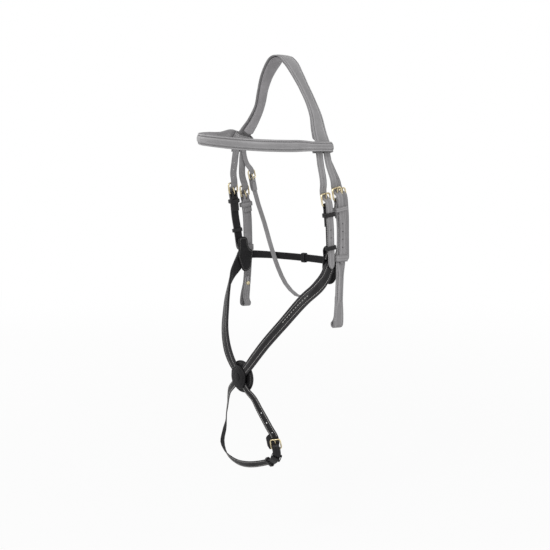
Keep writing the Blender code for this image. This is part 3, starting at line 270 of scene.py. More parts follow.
class Buckle:
    """Where a buckle sits on a line, and how the straps pass round it."""

    def __init__(self, line, s, billet_width, small=False):
        self.line, self.s = line, s
        self.bar = THIN_BAR_RADIUS if small else BAR_RADIUS
        self.length = SMALL_BUCKLE_LENGTH if small else BUCKLE_LENGTH
        self.leather = THIN_LEATHER if small else LEATHER
        self.tongue = TONGUE_RADIUS - (0.15 if small else 0)
        self.fold = self.leather / 2 + SEAM / 2
        self.inner = billet_width + 2 * 0.9
        self.place = line.frame(s)
        self.wrap = self.bar + RUNNING + self.leather / 2
        self.over = self.wrap + self.leather + SEAM
        self.behind = self.bar + 2 * RUNNING + self.leather / 2
        ring = self.bar + SEAM + self.tongue
        reach = np.array([self.length + 1.2, self.bar + 2 * SEAM + self.tongue])
        leave = math.atan2(reach[1], reach[0]) - math.acos(ring / np.linalg.norm(reach))
        turns = [leave - math.radians(250) * step / 20 for step in range(20, -1, -1)]
        self.tongue_points = [(0, ring * math.cos(a), ring * math.sin(a)) for a in turns]
        self.tongue_points.append((0, reach[0], reach[1]))

    def chape(self, turned_in, width, wide, settle=26, heel=None):
        """Profile of a strap end folded round the heel bar, ready to go on along the line."""
        heel = self.s if heel is None else heel
        fold = self.fold
        points = [(heel + turned_in, -fold, wide), (heel + 12, -fold - 0.3, wide),
                  (heel + 5.5, -self.wrap + 0.5, width)]
        for step in range(9):
            angle = math.radians(-90 + 22.5 * step)
            points.append((heel - self.wrap * math.cos(angle), self.wrap * math.sin(angle), width))
        points += [(heel + 5.5, self.wrap - 0.5, width), (heel + 12, fold + 0.3, wide),
                   (heel + settle, fold, wide), (heel + settle + 8, fold, wide)]
        return points

    def billet(self, width, tail):
        """Profile of a billet through the frame: behind the front bar, over the heel bar, then its tail."""
        rest = 1.5 * self.leather + 1.5 * SEAM + 0.2
        top = self.s - self.length
        rows = [(top - 13, 0), (top - 5, -self.behind * 0.8), (top + 1, -self.behind),
                (top + 4.5, -self.behind * 0.8), (self.s - 5.5, self.over * 0.93),
                (self.s - 1, self.over + 0.15), (self.s + 5, self.over * 0.97),
                (self.s + 15, rest + 0.4), (self.s + 26, rest), (self.s + 34, rest)]
        return [(s, n, width) for s, n in rows if s < tail - 5] + [(tail, rest, width)]


def route(rows):
    """A line through rows of x, y, z and the side that faces away from the horse."""
    return Line([row[:3] for row in rows], [row[3] for row in rows])


def across_to_far(rows):
    """Rows of the near side as they come back up the far side."""
    return [(-x, y, z, (-u, v, w)) for x, y, z, (u, v, w) in rows[::-1]]


def crown_half():
    """Route of the crown from the middle to the near end: point, side facing out, width."""
    end, top = CROWN_END_HALF, LEATHER / 2 + SEAM + CROWN_PAD
    fall = CROWN_END_DROP
    return [((0, -6.5, top), (0, 0, 1), CROWN_TOP_WIDTH),
            ((10, -6.5, top - 1.6), (0.2, 0, 1), CROWN_TOP_WIDTH),
            ((24.5, -6, top - 11.5), (0.6, 0, 1), CROWN_TOP_WIDTH - 0.5),
            ((0.346 * end, -6, -0.149 * fall), (0.8, 0, 0.6), CROWN_TOP_WIDTH - 5),
            ((0.48 * end, -3.5, -0.301 * fall), (0.85, 0, 0.5), CROWN_WAIST_WIDTH + 0.5),
            ((0.606 * end, 0.5, -0.476 * fall), (0.9, 0, 0.5), CROWN_WAIST_WIDTH),
            ((0.749 * end, -2, -0.65 * fall), (0.9, 0, 0.5), CROWN_WAIST_WIDTH + 2.5),
            ((0.87 * end, -9, -0.796 * fall), (0.95, 0, 0.45), CROWN_END_WIDTH - 2),
            ((end - 7, -12, 19 - fall), (1, 0, 0.4), CROWN_END_WIDTH),
            ((end - 2.5, -12.5, 10 - fall), (1, 0, 0.3), CROWN_END_WIDTH),
            ((end, -12.5, -fall), (1, 0, 0.2), CROWN_END_WIDTH)]


def crown_line():
    near = crown_half()
    far = [((-x, y, z), (-u, v, w), width) for (x, y, z), (u, v, w), width in near[:0:-1]]
    rows = far + near
    line = Line([point for point, _, _ in rows], [side for _, side, _ in rows])
    point, _, out, _ = line.at((line.length + POLL_FLAT) / 2)
    underside = point[2] + out[2] * PAD_DEPTH - CROWN_PAD / 2
    line.points[:, 2] -= underside
    marks = [float(line.marks[40 * i]) for i in range(len(rows))]
    return line, [(mark, width) for mark, (_, _, width) in zip(marks, rows)]


def brow_level(x):
    return -BROW_DROP - BROW_TILT * x


def loop_place(crown, sign):
    s = crown.where(2, brow_level(sign * CROWN_END_HALF), crown.length / 2)
    return s if sign > 0 else crown.length - s


def noseband_line():
    """From inside the crown's end down the near cheek to the junction."""
    end, buckle = CROWN_END_HALF, NOSE_BUCKLE_DROP["near"]
    return Line([(end - 2.5, -20, 10 - CROWN_END_DROP), (end, -20, -CROWN_END_DROP),
                 (end + 7, -20, -CROWN_END_DROP - 36), (BUCKLE_HALF - 1, -18.3, 25 - buckle),
                 (BUCKLE_HALF + 1.2, -14.2, 2 - buckle), (BUCKLE_HALF + 2, -10.5, -buckle - 28),
                 (BUCKLE_HALF - 0.5, -6.5, 42 - JUNCTION_DROP),
                 (JUNCTION_HALF + 1.8, -1.5, -JUNCTION_DROP - 6)], OUT)


def cheek_line():
    """From inside the crown's end down to the bit."""
    end, half, bit = CROWN_END_HALF, BUCKLE_HALF, -BIT_DROP["near"]
    return Line([(end - 2.5, -4, 10 - CROWN_END_DROP), (end, -4, -CROWN_END_DROP),
                 (end + 7, -0.5, -CROWN_END_DROP - 34), (half, 6.5, 20 - CHEEK_BUCKLE_DROP),
                 (half + 1, 11, -CHEEK_BUCKLE_DROP - 2), (half + 1.5, 15.5, -CHEEK_BUCKLE_DROP - 30),
                 (half + 1, 17.5, -CHEEK_BUCKLE_DROP - 80), (half - 0.5, 16.5, -CHEEK_BUCKLE_DROP - 122),
                 (half + 0.5, 14, 50 + bit), (BIT_HALF, 11, 18 + bit), (BIT_HALF, 10, bit)], OUT)


def throat_billet_line(side):
    start = CROWN_END_HALF - THIN_LEATHER / 2 - 2 * SEAM - LEATHER / 2
    drop, tail = THROAT_BUCKLE_DROP[side], THROAT_TAIL_DROP[side]
    half, lean = THROAT_HALF, THROAT_LEAN[side]
    line = Line([(start - 2.5, -5, 10 - CROWN_END_DROP), (start, -3.5, -CROWN_END_DROP),
                 ((start + half) / 2 + 1, 0.4 * lean, -(CROWN_END_DROP + drop) / 2),
                 (half, lean - 5, -drop + 16), (half, lean, -drop), (half, lean + 3.5, -drop - 18),
                 (half, lean + 5.5, -(drop + tail) / 2 - 12), (half, lean + 6.5, -tail)], (1, 0, 0))
    return line.on(side)


def throat_strap_line():
    """A hanging loop between the two throat buckles."""
    half, lean, back = THROAT_HALF, THROAT_LEAN["near"], THROAT_LEAN["far"]
    near = [(0, lean - 5, 16, OUT), (0, lean, 0, OUT), (0.5, lean + 3, -18, (1, 0, -0.1)),
            (5, 35, -54, (1, 0, -0.2)), (21, 36, -102, (0.9, 0, -0.5)), (41, 36.5, -136, (0.7, 0, -0.7)),
            (75, 37, -167.5, (0.3, 0, -0.95)), (half, 37, -179, (0, 0, -1))]
    far = [(79, 37, -191.5, (0.4, 0, -0.9)), (55, 36.5, -162, (0.8, 0, -0.6)),
           (37, 35, -126, (0.9, 0, -0.4)), (20, 31, -79, (1, 0, -0.3)),
           (5, back + 7.5, -40, (1, 0, -0.1)), (1, back + 3.5, -18, OUT), (0, back, 0, OUT),
           (0, back - 5, 16, OUT)]
    return route([(half - x, y, z - THROAT_BUCKLE_DROP["near"], out) for x, y, z, out in near]
                 + [(x - half, y, z - THROAT_BUCKLE_DROP["far"], (-u, v, w)) for x, y, z, (u, v, w) in far])


def browband_line(crown, lift):
    """From the near end, over the browband loop, round the brow to the far end."""
    points, sides = [], []
    reach, half = BROWBAND_REACH, CROWN_END_HALF
    front = [(half + 4, -0.37 * reach, 2.4, (1, -0.2, 0.1)),
             (half - 3, -0.56 * reach, 1.4, (1, -0.45, 0)),
             (half - 22, -0.78 * reach, 0.4, (0.7, -0.75, 0)),
             (half - 57, -0.94 * reach, 0, (0.3, -1, 0))]
    for sign in (1, -1):
        s = loop_place(crown, sign)
        point, _, out, across = crown.at(s)
        ends = [point + out * lift + across * reached for reached in (16.5, 0, -16, -24)]
        part = [(tuple(p), tuple(out)) for p in ends]
        part += [((sign * x, y, brow_level(sign * x) + rise), (sign * u, v, w))
                 for x, y, rise, (u, v, w) in front]
        if sign > 0:
            part.append(((0, -reach, brow_level(0)), (0, -1, 0)))
        points += [p for p, _ in (part if sign > 0 else part[::-1])]
        sides += [q for _, q in (part if sign > 0 else part[::-1])]
    return Line(points, sides)


def nose_line():
    """The padded strap from the near junction over the nose to the disc."""
    half = JUNCTION_HALF
    cheek = [(half, 0.5, 9, OUT), (half, -4, -5, OUT), (half, -12, -19, (1, -0.05, 0)),
             (half - 2, -24, -33, (0.85, -0.45, 0.1)), (half - 14.5, -41.5, -53, (0.55, -0.8, 0.25))]
    nose = [(84, 29.5, 103, (0.3, -0.9, 0.35)), (57, 9, 63, (0.15, -0.95, 0.25)),
            (39, 2, 39, (0.05, -1, 0.15)), (22, 0, 20, (0, -1, 0.03)), (10.5, 0, 9.5, (0, -1, 0))]
    return route([(x, y, z - JUNCTION_DROP, out) for x, y, z, out in cheek]
                 + [(x, y - NOSE_REACH, z - DISC_DROP, out) for x, y, z, out in nose])


def chin_line():
    """From the disc down the near side, under the chin and up the far side to the disc."""
    half, reach, fall = CHIN_HALF, -CHIN_REACH, CHIN_FALL
    disc = -(NOSE_REACH + DISC_SEAT - 2 * SEAM - THIN_LEATHER / 2)
    side = [(9, disc, -9, (0, -1, 0)), (20, disc, -19, (0.05, -1, 0)),
            (0.49 * half, -0.97 * NOSE_REACH, -0.2 * fall, (0.25, -0.95, 0)),
            (0.62 * half, reach - 11.5, -0.294 * fall, (0.45, -0.9, 0)),
            (0.73 * half, reach - 7, -0.388 * fall, (0.55, -0.8, 0)),
            (0.84 * half, reach - 3.5, -0.481 * fall, (0.62, -0.78, 0)),
            (0.94 * half, reach + 0.5, -0.581 * fall, (0.62, -0.78, 0))]
    under = [(0.995 * half, reach + 2, -0.675 * fall, (0.62, -0.75, -0.05)),
             (half, reach + 4, -0.763 * fall, (0.6, -0.75, -0.15)),
             (0.87 * half, reach + 6, 26 - fall, (0.55, -0.7, -0.4)),
             (0.6 * half, reach + 8.5, 16 - fall, (0.3, -0.75, -0.55)),
             (0.27 * half, reach + 6, 6 - fall, (0.15, -0.85, -0.5)), (0, reach + 2, -fall, (0, -0.9, -0.4)),
             (-0.59 * half, reach, -fall - 4, (-0.2, -0.9, -0.4)),
             (-0.93 * half, reach, 3 - fall, (-0.6, -0.75, -0.35)),
             (-1.1 * half, reach + 0.5, 18 - fall, (-0.9, -0.45, -0.1)),
             (-1.03 * half, reach + 1, 44 - fall, (-0.92, -0.4, 0))]
    return route([(x, y, z - DISC_DROP, out) for x, y, z, out in side + under + across_to_far(side)])


def jaw_line():
    """From the near junction round behind the jaw to the far junction."""
    half, reach = JUNCTION_FACE + THIN_LEATHER / 2, JAW_REACH
    near = [(half, 10.8, 0, OUT), (half, 21, -0.5, (1, 0.05, 0)), (half - 3.5, 31, -1, (0.9, 0.45, 0)),
            (half - 10.5, 40, -1.5, (0.8, 0.6, 0)), (half - 19, 48.5, -2, (0.7, 0.7, 0)),
            (0.68 * half, 0.82 * reach, -2.5, (0.5, 0.85, 0)), (0.38 * half, 0.96 * reach, -3, (0.2, 1, 0))]
    whole = near + [(0, reach, -3, (0, 1, 0))] + across_to_far(near)
    return route([(x, y, z - JUNCTION_DROP, out) for x, y, z, out in whole])


# Materials

def feed(tree, node, inputs):
    """Gives each named input of a node a value, or wires another node's output to it."""
    for name, value in inputs.items():
        if isinstance(value, bpy.types.NodeSocket):
            tree.links.new(value, node.inputs[name])
        else:
            node.inputs[name].default_value = value


def add_node(tree, kind, inputs=None, **settings):
    """A new node with its settings and inputs; gives its outputs."""
    node = tree.nodes.new(kind)
    for name, value in settings.items():
        setattr(node, name, value)
    feed(tree, node, inputs or {})
    return node.outputs


def maths(tree, operation, *values, clamp=False):
    return add_node(tree, "ShaderNodeMath", dict(enumerate(values)), operation=operation, use_clamp=clamp)[0]


def on_piece(tree):
    """The piece's own coordinates."""
    return add_node(tree, "ShaderNodeTexCoord")["Object"]


def noise(tree, scale, detail=2, roughness=0.55):
    return add_node(tree, "ShaderNodeTexNoise", {"Vector": on_piece(tree), "Scale": scale, "Detail": detail,
                                                 "Roughness": roughness})["Fac"]


def brightened(tree, colour, share):
    return add_node(tree, "ShaderNodeVectorMath", {0: colour, "Scale": share}, operation="SCALE")[0]


def bumped(tree, height, strength, distance):
    return add_node(tree, "ShaderNodeBump", {"Height": height, "Strength": strength,
                                             "Distance": distance})["Normal"]


def new_group(name, kind, inputs, outputs):
    """An empty node group with its named sockets: its tree, what is given to it and its end."""
    tree = bpy.data.node_groups.new(name, kind)
    for way, rows in (("INPUT", inputs), ("OUTPUT", outputs)):
        for label, sort, *value in rows:
            made = tree.interface.new_socket(name=label, in_out=way, socket_type="NodeSocket" + sort)
            if value:
                made.default_value = value[0]
    return tree, tree.nodes.new("NodeGroupInput").outputs, tree.nodes.new("NodeGroupOutput")


def grain_group():
    """Leather grain: pebbled height, a tint that drifts and a gloss that breaks up."""
    found = bpy.data.node_groups.get("Leather Grain")
    if found:
        return found
    tree, given, end = new_group(
        "Leather Grain", "ShaderNodeTree",
        [("Colour", "Color", (0.2, 0.2, 0.2, 1)), ("Pores", "Float", 1400), ("Tint", "Float", 0.2),
         ("Gloss", "Float", 0.42)], [("Colour", "Color"), ("Height", "Float"), ("Roughness", "Float")])
    pebble = add_node(tree, "ShaderNodeTexVoronoi",
                      {"Smoothness": 0.4, "Vector": on_piece(tree), "Scale": given["Pores"]},
                      feature="SMOOTH_F1")["Distance"]
    fine, drift, patch = noise(tree, 3200), noise(tree, 38, 4, 0.6), noise(tree, 210, 3, 0.6)
    mixed = maths(tree, "MULTIPLY_ADD", drift, 0.65, maths(tree, "MULTIPLY", patch, 0.35))
    swing = maths(tree, "MULTIPLY", maths(tree, "SUBTRACT", mixed, 0.5), given["Tint"])
    pore = maths(tree, "MULTIPLY", maths(tree, "SUBTRACT", pebble, 0.45), -0.16)
    shade = maths(tree, "ADD", maths(tree, "MULTIPLY_ADD", swing, 2.6, pore), 1)
    rough = maths(tree, "MULTIPLY_ADD", maths(tree, "SUBTRACT", patch, 0.45), 0.35, given["Gloss"],
                  clamp=True)
    height = maths(tree, "MULTIPLY_ADD", pebble, -0.6, maths(tree, "MULTIPLY", fine, 0.3))
    feed(tree, end, {"Colour": brightened(tree, given["Colour"], shade), "Height": height,
                     "Roughness": rough})
    return tree


def wear_and_light_group():
    """Lightened edges and darkened grooves, from the finish map: X lightens for edge wear and as painted
    highlight, Y darkens as painted shade.
    """
    found = bpy.data.node_groups.get("Wear and Painted Light")
    if found:
        return found
    tree, given, end = new_group(
        "Wear and Painted Light", "ShaderNodeTree",
        [("Colour", "Color", (0.2, 0.2, 0.2, 1)), ("Lift", "Float", 0.5), ("Shade", "Float", 0.5)],
        [("Colour", "Color")])
    finish = add_node(tree, "ShaderNodeUVMap", uv_map="finish")["UV"]
    finish = add_node(tree, "ShaderNodeSeparateXYZ", {0: finish})
    patchy = maths(tree, "MULTIPLY_ADD", noise(tree, 420, 4, 0.65), 1.3, -0.1)
    # Wear at the edges and painted highlight lighten the colour, in patches.
    lit_and_scuffed = maths(tree, "MULTIPLY", finish["X"], patchy)
    gain = maths(tree, "MULTIPLY_ADD", lit_and_scuffed, given["Lift"], 1)
    # Painted shade darkens the grooves and the drawn-in pad edges.
    shaded_groove = maths(tree, "MULTIPLY", finish["Y"], given["Shade"])
    feed(tree, end, {"Colour": brightened(tree, given["Colour"], maths(tree, "SUBTRACT", gain, shaded_groove))})
    return tree


def new_material(name):
    """A material, its node tree and its shader, or the material alone where it was made before."""
    found = bpy.data.materials.get(name)
    if found:
        return found, None, None
    made = bpy.data.materials.new(name)
    made.use_nodes = True
    return made, made.node_tree, made.node_tree.nodes["Principled BSDF"]


def leather(name, colour, gloss=0.42, pores=1400, tint=0.2, lift=0.5, shade=0.55, bump=0.25, sheen=0.36):
    """Bridle leather with grain, drifting tint, edge wear with painted highlight, and painted shade in the
    grooves.
    """
    made, tree, shader = new_material(name)
    if tree is None:
        return made
    grain = add_node(tree, "ShaderNodeGroup", {"Colour": (*colour, 1), "Pores": pores, "Tint": tint,
                                               "Gloss": gloss}, node_tree=grain_group())
    # lift lightens the edges for wear and as painted highlight; shade darkens the grooves as painted shade.
    edge = add_node(tree, "ShaderNodeGroup", {"Colour": grain["Colour"], "Lift": lift, "Shade": shade},
                    node_tree=wear_and_light_group())
    feed(tree, shader, {"Base Color": edge["Colour"], "Roughness": grain["Roughness"],
                        "Normal": bumped(tree, grain["Height"], bump, 0.0004), "Specular IOR Level": sheen})
    return made


def shaded(colour, share):
    return tuple(share * c for c in colour)


def grey_set():
    grey = tuple(colours().grey)
    return [leather("grey leather", grey, 0.45), leather("grey edge", shaded(grey, 0.62), 0.4),
            leather("grey flesh side", shaded(grey, 0.95), 0.75, 900, 0.35)]


def black_set():
    black = tuple(colours().black)
    # The black straps' strong lift lightens their edges, for edge wear and as painted highlight.
    return [leather("black leather", black, 0.42, tint=0.3, lift=3.5, sheen=0.24),
            leather("black edge", black, 0.4, lift=2, sheen=0.24),
            leather("black flesh side", shaded(black, 1.3), 0.75, 900, 0.35, sheen=0.24)]


def lining_set():
    return [leather("lining leather", tuple(colours().lining), 0.6, 1000, 0.3, bump=0.4)] * 3


def sewing_material(slot):
    """Pale thread shows on black leather; on the grey it is close to the leather's own tone."""
    if slot == "black_leather":
        return thread_material("waxed thread", tuple(colours().thread))
    return thread_material("grey thread", shaded(colours().grey, 1.2))


def dark_thread():
    """The thread of the plates and the disc, darkened nearly to the tone of the leather."""
    return thread_material("dark thread", shaded(colours().thread, 0.22))


def thread_material(name, colour):
    """Waxed thread, twisted in two tones."""
    made, tree, shader = new_material(name)
    if tree is None:
        return made
    twist = add_node(tree, "ShaderNodeTexWave", {"Scale": 900, "Distortion": 1.5, "Vector": on_piece(tree)})
    tones = add_node(tree, "ShaderNodeMix", {"A": (*shaded(colour, 0.72), 1), "B": (*colour, 1),
                                             "Factor": twist["Fac"]}, data_type="RGBA")
    feed(tree, shader, {"Base Color": tones["Result"], "Roughness": 0.6})
    return made


def brass_material():
    """Rolled brass, a little dulled in patches, with fine drawn lines."""
    made, tree, shader = new_material("dulled brass")
    if tree is None:
        return made
    patch = noise(tree, 160, 5, 0.6)
    ramp_node = tree.nodes.new("ShaderNodeValToRGB")
    tones = ((0.35, (0.4, 0.32, 0.18, 1)), (0.62, (*colours().brass, 1)))
    for element, (position, colour) in zip(ramp_node.color_ramp.elements, tones):
        element.position, element.color = position, colour
    feed(tree, ramp_node, {"Fac": patch})
    feed(tree, shader, {"Base Color": ramp_node.outputs["Color"], "Metallic": 1,
                        "Roughness": maths(tree, "MULTIPLY_ADD", patch, -0.3, 0.46),
                        "Normal": bumped(tree, noise(tree, 1800), 0.12, 0.0002)})
    return made


# Mesh makers

def add_object(name, data):
    """An object of the scene for a mesh, curve, lamp or camera."""
    made = bpy.data.objects.new(name, data)
    bpy.context.scene.collection.objects.link(made)
    return made


def write_mesh(bm, mesh):
    bm.to_mesh(mesh)
    bm.free()
    return mesh


def turn_faces_out(mesh, merge=None):
    bm = bmesh.new()
    bm.from_mesh(mesh)
    if merge:
        bmesh.ops.remove_doubles(bm, verts=bm.verts, dist=merge)
    bmesh.ops.recalc_face_normals(bm, faces=bm.faces)
    write_mesh(bm, mesh)


def plain_mesh(thing):
    """The plain mesh that an object's modifiers or curve come to."""
    bpy.context.view_layer.update()
    ready = thing.evaluated_get(bpy.context.evaluated_depsgraph_get())
    return bpy.data.meshes.new_from_object(ready)


def plain_finish(mesh):
    """A piece without edge wear, painted highlight and painted shade still carries the finish map, at zero.
    """
    layer = mesh.uv_layers.new(name="finish")
    layer.data.foreach_set("uv", np.zeros(2 * len(mesh.loops), np.float32))


def dress(mesh, finishes, sharp):
    """Gives a mesh its materials, and smooth faces but for creases sharper than an angle in degrees."""
    for finish in finishes:
        mesh.materials.append(finish)
    mesh.shade_smooth()
    mesh.set_sharp_from_angle(angle=math.radians(sharp))


def settle(thing, node, padded=None):
    """The piece stands for its CAD node and moves with that node's body."""
    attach(thing, frame["nodes"][node]["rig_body"])
    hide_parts(node)
    return thing


def skin(name, rings, parts, finishes, looks=None, closed=False):
    """A closed surface through rings of points, in millimetres; parts gives the finish round a ring,
    looks how much each point of each ring is lightened, for edge wear and as painted highlight, and darkened
    as painted shade."""
    rings = np.asarray(rings, float)
    rows, count = rings.shape[:2]
    around = range(count)
    corners = [((r, i), (r + 1, i), (r + 1, (i + 1) % count), (r, (i + 1) % count))
               for r in range(rows if closed else rows - 1) for i in around]
    finish = parts * (len(corners) // count)
    if not closed:
        corners += [[(0, i) for i in around], [(rows - 1, i) for i in reversed(around)]]
        finish += [1, 1]
    mesh = bpy.data.meshes.new(name)
    mesh.from_pydata([tuple(p) for p in rings.reshape(-1, 3) * MM], [],
                     [[r % rows * count + i for r, i in face] for face in corners])
    dress(mesh, finishes, SWEPT_CREASE)
    mesh.polygons.foreach_set("material_index", finish)
    if looks is not None:
        # The finish map: X lightens each point for edge wear and as painted highlight, Y darkens it as
        # painted shade.
        layer = mesh.uv_layers.new(name="finish")
        table = [looks[r % rows][i] for face in corners for r, i in face]
        layer.data.foreach_set("uv", np.array(table, np.float32).ravel())
    return add_object(name, mesh)


def section(width, thick, bow=0, rise=0, crease=1.6, depth=0.25, groove=0.7, rim=0):
    """Round the strap: across and height of each point, its finish, and how much it is lightened, for edge
    wear and as painted highlight, and darkened as painted shade.
    The groove that holds the thread is 'crease' in from the edge; 'rise' lifts the middle, 'rim' the edge."""
    half, r, top = width / 2, min(thick, 2.2), thick / 2
    start, stop = crease - groove / 2, crease + groove / 2
    # The fourth column lightens: edge wear and painted highlight at the rims, and painted highlight on the
    # raised middle's flank at stop + 0.9. The fifth is painted shade, full in the groove and lighter over the
    # middle.
    side = [(0, 0, 1, 0.3, 0), (0.05 * r, top - 0.28 * r, 1, 1, 0),
            (0.17 * r, top - 0.12 * r + 0.3 * rim, 1, 1, 0),
            (0.36 * r, top - 0.02 * r + 0.7 * rim, 0, 0.8, 0),
            ((0.36 * r + start) / 2, top + rim, 0, 0.6, 0), (start - 0.12, top + 0.6 * rim, 0, 0.2, 0.5),
            (crease - 0.2 * groove, top - depth, 0, 0, 1),
            (crease + 0.2 * groove, top - depth, 0, 0, 1),
            (stop + 0.12, top + 0.2 * rise, 0, 0.2, 0.4), (stop + 0.9, top + 0.58 * rise, 0, 0.7, 0),
            (stop + 2, top + 0.86 * rise, 0, 0.3, 0.1), (stop + 3.2, top + 0.97 * rise, 0, 0, 0.22)]
    squeeze = min(1, (half - 0.2) / (stop + 3.4))
    left = [(e * squeeze - half, b, *rest) for e, b, *rest in side]
    right = [(-a, b, 0 if part == 0 else 1, wear_and_highlight, painted_shade) for a, b, part, wear_and_highlight, painted_shade in left[::-1]]
    ring = left + [(0, top + rise, 0, 0, 0.25)] + right
    low = [(half - 0.05 * r, -(top - 0.28 * r), 1), (half - 0.17 * r, -(top - 0.12 * r), 1),
           (half - 0.42 * r, -top, 2), (0.45 * half, -top, 2), (0, -top, 2)]
    low += [(-a, b, 2 if i < 2 else 1) for i, (a, b, _) in enumerate(low[-2::-1])]
    ring += [(a, b, part, 0.5 if part == 1 else 0, 0) for a, b, part in low]
    across, height, parts, wear_and_highlight, painted_shade = [np.array(column) for column in zip(*ring)]
    return across, height + bow * (1 - (across / half) ** 2), list(parts), np.column_stack([wear_and_highlight, painted_shade])


def pad_section(width, thick, bow=0, puff=0.85):
    """A stuffed lining: full in the middle, drawn in to a thin sewn edge that takes painted shade."""
    half = width / 2
    angle = math.pi - 2 * math.pi * np.arange(26) / 26
    across = half * np.sign(np.cos(angle)) * np.abs(np.cos(angle)) ** 0.55
    height = thick / 2 * np.sign(np.sin(angle)) * np.abs(np.sin(angle)) ** puff
    # Painted shade near the drawn-in edge, with a little lightening there.
    painted_shade = np.clip(1 - (half - np.abs(across)) / 1.2, 0, 1)
    return (across, height + bow * (1 - (across / half) ** 2), [0] * 26,
            np.column_stack([0.2 * painted_shade, 0.6 * painted_shade]))


class Strap:
    """A strap swept along a line: its rows, its outline and the paths its stitches follow."""

    def __init__(self, line, profile, thick, tips=(0, 0), finest=5, shape=section, **form):
        self.thick, self.form, self.shape = thick, form, shape
        step = sizes().row_spacing / MM
        dense = smooth_curve([(s, n, 0) for s, n, _ in profile], 24)[:, :2]
        widths = np.interp(np.arange(len(dense)) / 24, np.arange(len(profile)), [w for _, _, w in profile])
        looks = [line.at(s) for s in dense[:, 0]]
        path = np.array([look[0] + look[2] * n for look, n in zip(looks, dense[:, 1])])
        sides = np.array([look[3] for look in looks])
        run = np.concatenate([[0], np.cumsum(np.linalg.norm(np.diff(path, axis=0), axis=1))])
        keep = np.concatenate([[True], np.diff(run) > 1e-6])
        dense, widths, path, sides, run = dense[keep], widths[keep], path[keep], sides[keep], run[keep]
        heading = units(np.gradient(path, run, axis=0))
        chosen, last, near = [0], 0, math.cos(math.radians(finest))
        for i in range(1, len(run)):
            turned = min(heading[i] @ heading[last], sides[i] @ sides[last])
            if turned < near or run[i] - run[last] > step:
                chosen.append(run[i])
                last = i
        total = run[-1]
        if total - chosen[-1] < 0.3:
            chosen.pop()
        chosen.append(total)
        shares = (0, 0.02, 0.07, 0.15, 0.26, 0.4, 0.58, 0.78, 1)
        chosen = [k for k in chosen if tips[0] <= k <= total - tips[1]]
        chosen += [tips[0] * f for f in shares] + [total - tips[1] * f for f in shares]
        self.run = np.array(sorted(set(round(k, 4) for k in chosen)))
        self.total = total

        def spread(table):
            return np.array([np.interp(self.run, run, table[:, k]) for k in range(table.shape[1])]).T

        self.point, along, self.across = spread(path), units(spread(heading)), spread(sides)
        self.across = units(self.across - along * (self.across * along).sum(1)[:, None])
        self.up = np.cross(along, self.across)
        self.s = np.interp(self.run, run, dense[:, 0])
        self.width = np.interp(self.run, run, widths)
        for tip, gone in ((tips[0], self.run), (tips[1], total - self.run)):
            if tip:
                inside = np.clip(1 - (1 - gone / tip) ** 2, 0.02, 1)
                self.width = self.width * np.where(gone < tip, np.sqrt(inside), 1)

    def form_at(self, r):
        form = {key: amount(self.s[r]) if callable(amount) else amount for key, amount in self.form.items()}
        return self.shape(max(self.width[r], 0.9), self.thick, **form)

    def build(self, name, finishes):
        rings, looks, parts = [], [], None
        for r in range(len(self.run)):
            across, height, parts, look = self.form_at(r)
            rings.append(self.point[r] + np.outer(across, self.across[r]) + np.outer(height, self.up[r]))
            looks.append(look)
        return skin(name, rings, parts, finishes, looks)

    def settled(self, node, finishes, cutters=(), padded=None, sewn=None):
        """Builds the strap, takes the cutters out of it, puts it in the place of its CAD node and sews it."""
        made = self.build(node + ("_pad" if self.shape is pad_section else "_leather"), finishes)
        settle(cut(made, cutters) if cutters else made, node, padded)
        if sewn:
            sew(node + "_stitches", node, self.both_seams(*sewn))

    def seam(self, hand, start, stop, inset=None):
        """Where thread lies in one side's groove, or so far in from its edge: points and facing ways.
        A stop below 0 counts back from the strap's end."""
        stop = self.total + stop if stop < 0 else stop
        rows = [r for r in range(len(self.run)) if start <= self.run[r] <= stop]
        points = []
        for r in rows:
            across, height, _, look = self.form_at(r)
            face = slice(0, list(across).index(max(across)) + 1)
            shaded_groove = np.argsort(-look[face, 1], kind="stable")[:2]
            aside = hand * (abs(across[shaded_groove].mean()) if inset is None else self.width[r] / 2 - inset)
            high = np.interp(aside, across[face], height[face]) + THREAD_PROUD
            points.append(self.point[r] + aside * self.across[r] + high * self.up[r])
        return np.array(points), self.up[rows]

    def both_seams(self, start, stop):
        return [self.seam(hand, start, stop) for hand in (1, -1)]


def scaled(place):
    """A place in millimetres as the metres that meshes are moved by."""
    moved = place.copy()
    moved.translation = moved.translation * MM
    return moved


def tube(name, points, radii, finish, place, closed=False, sides=16):
    """A round bar through points, in millimetres; radii may change along it, and the ends are domed."""
    points = np.asarray(points, float)
    radii = np.broadcast_to(np.asarray(radii, float), (len(points),)).copy()
    if closed:
        ahead = np.roll(points, -1, axis=0) - np.roll(points, 1, axis=0)
    else:
        ahead = np.gradient(points, axis=0)
        dome = [(0, 0.35), (0.25, 0.72), (0.6, 0.94)]
        first, last = unit(points[1] - points[0]), unit(points[-1] - points[-2])
        head = [points[0] - first * radii[0] * (1 - f) * 0.6 for f, _ in dome]
        tail = [points[-1] + last * radii[-1] * (1 - f) * 0.6 for f, _ in dome[::-1]]
        radii = np.concatenate([[radii[0] * g for _, g in dome], radii,
                                [radii[-1] * g for _, g in dome[::-1]]])
        ahead = np.vstack([[first] * 3, ahead, [last] * 3])
        points = np.vstack([head, points, tail])
    ahead = units(ahead)
    seed = np.array([0, 0, 1]) if abs(ahead[0][2]) < 0.8 else np.array([1, 0, 0])
    rings, u = [], unit(np.cross(ahead[0], seed))
    for point, way, radius in zip(points, ahead, radii):
        u = unit(u - way * (u @ way))
        v = np.cross(way, u)
        turn = np.linspace(0, 2 * math.pi, sides, endpoint=False)
        rings.append(point + radius * (np.outer(np.cos(turn), u) - np.outer(np.sin(turn), v)))
    made = skin(name, rings, [0] * sides, [finish, finish], closed=closed)
    made.data.transform(scaled(place))
    return made


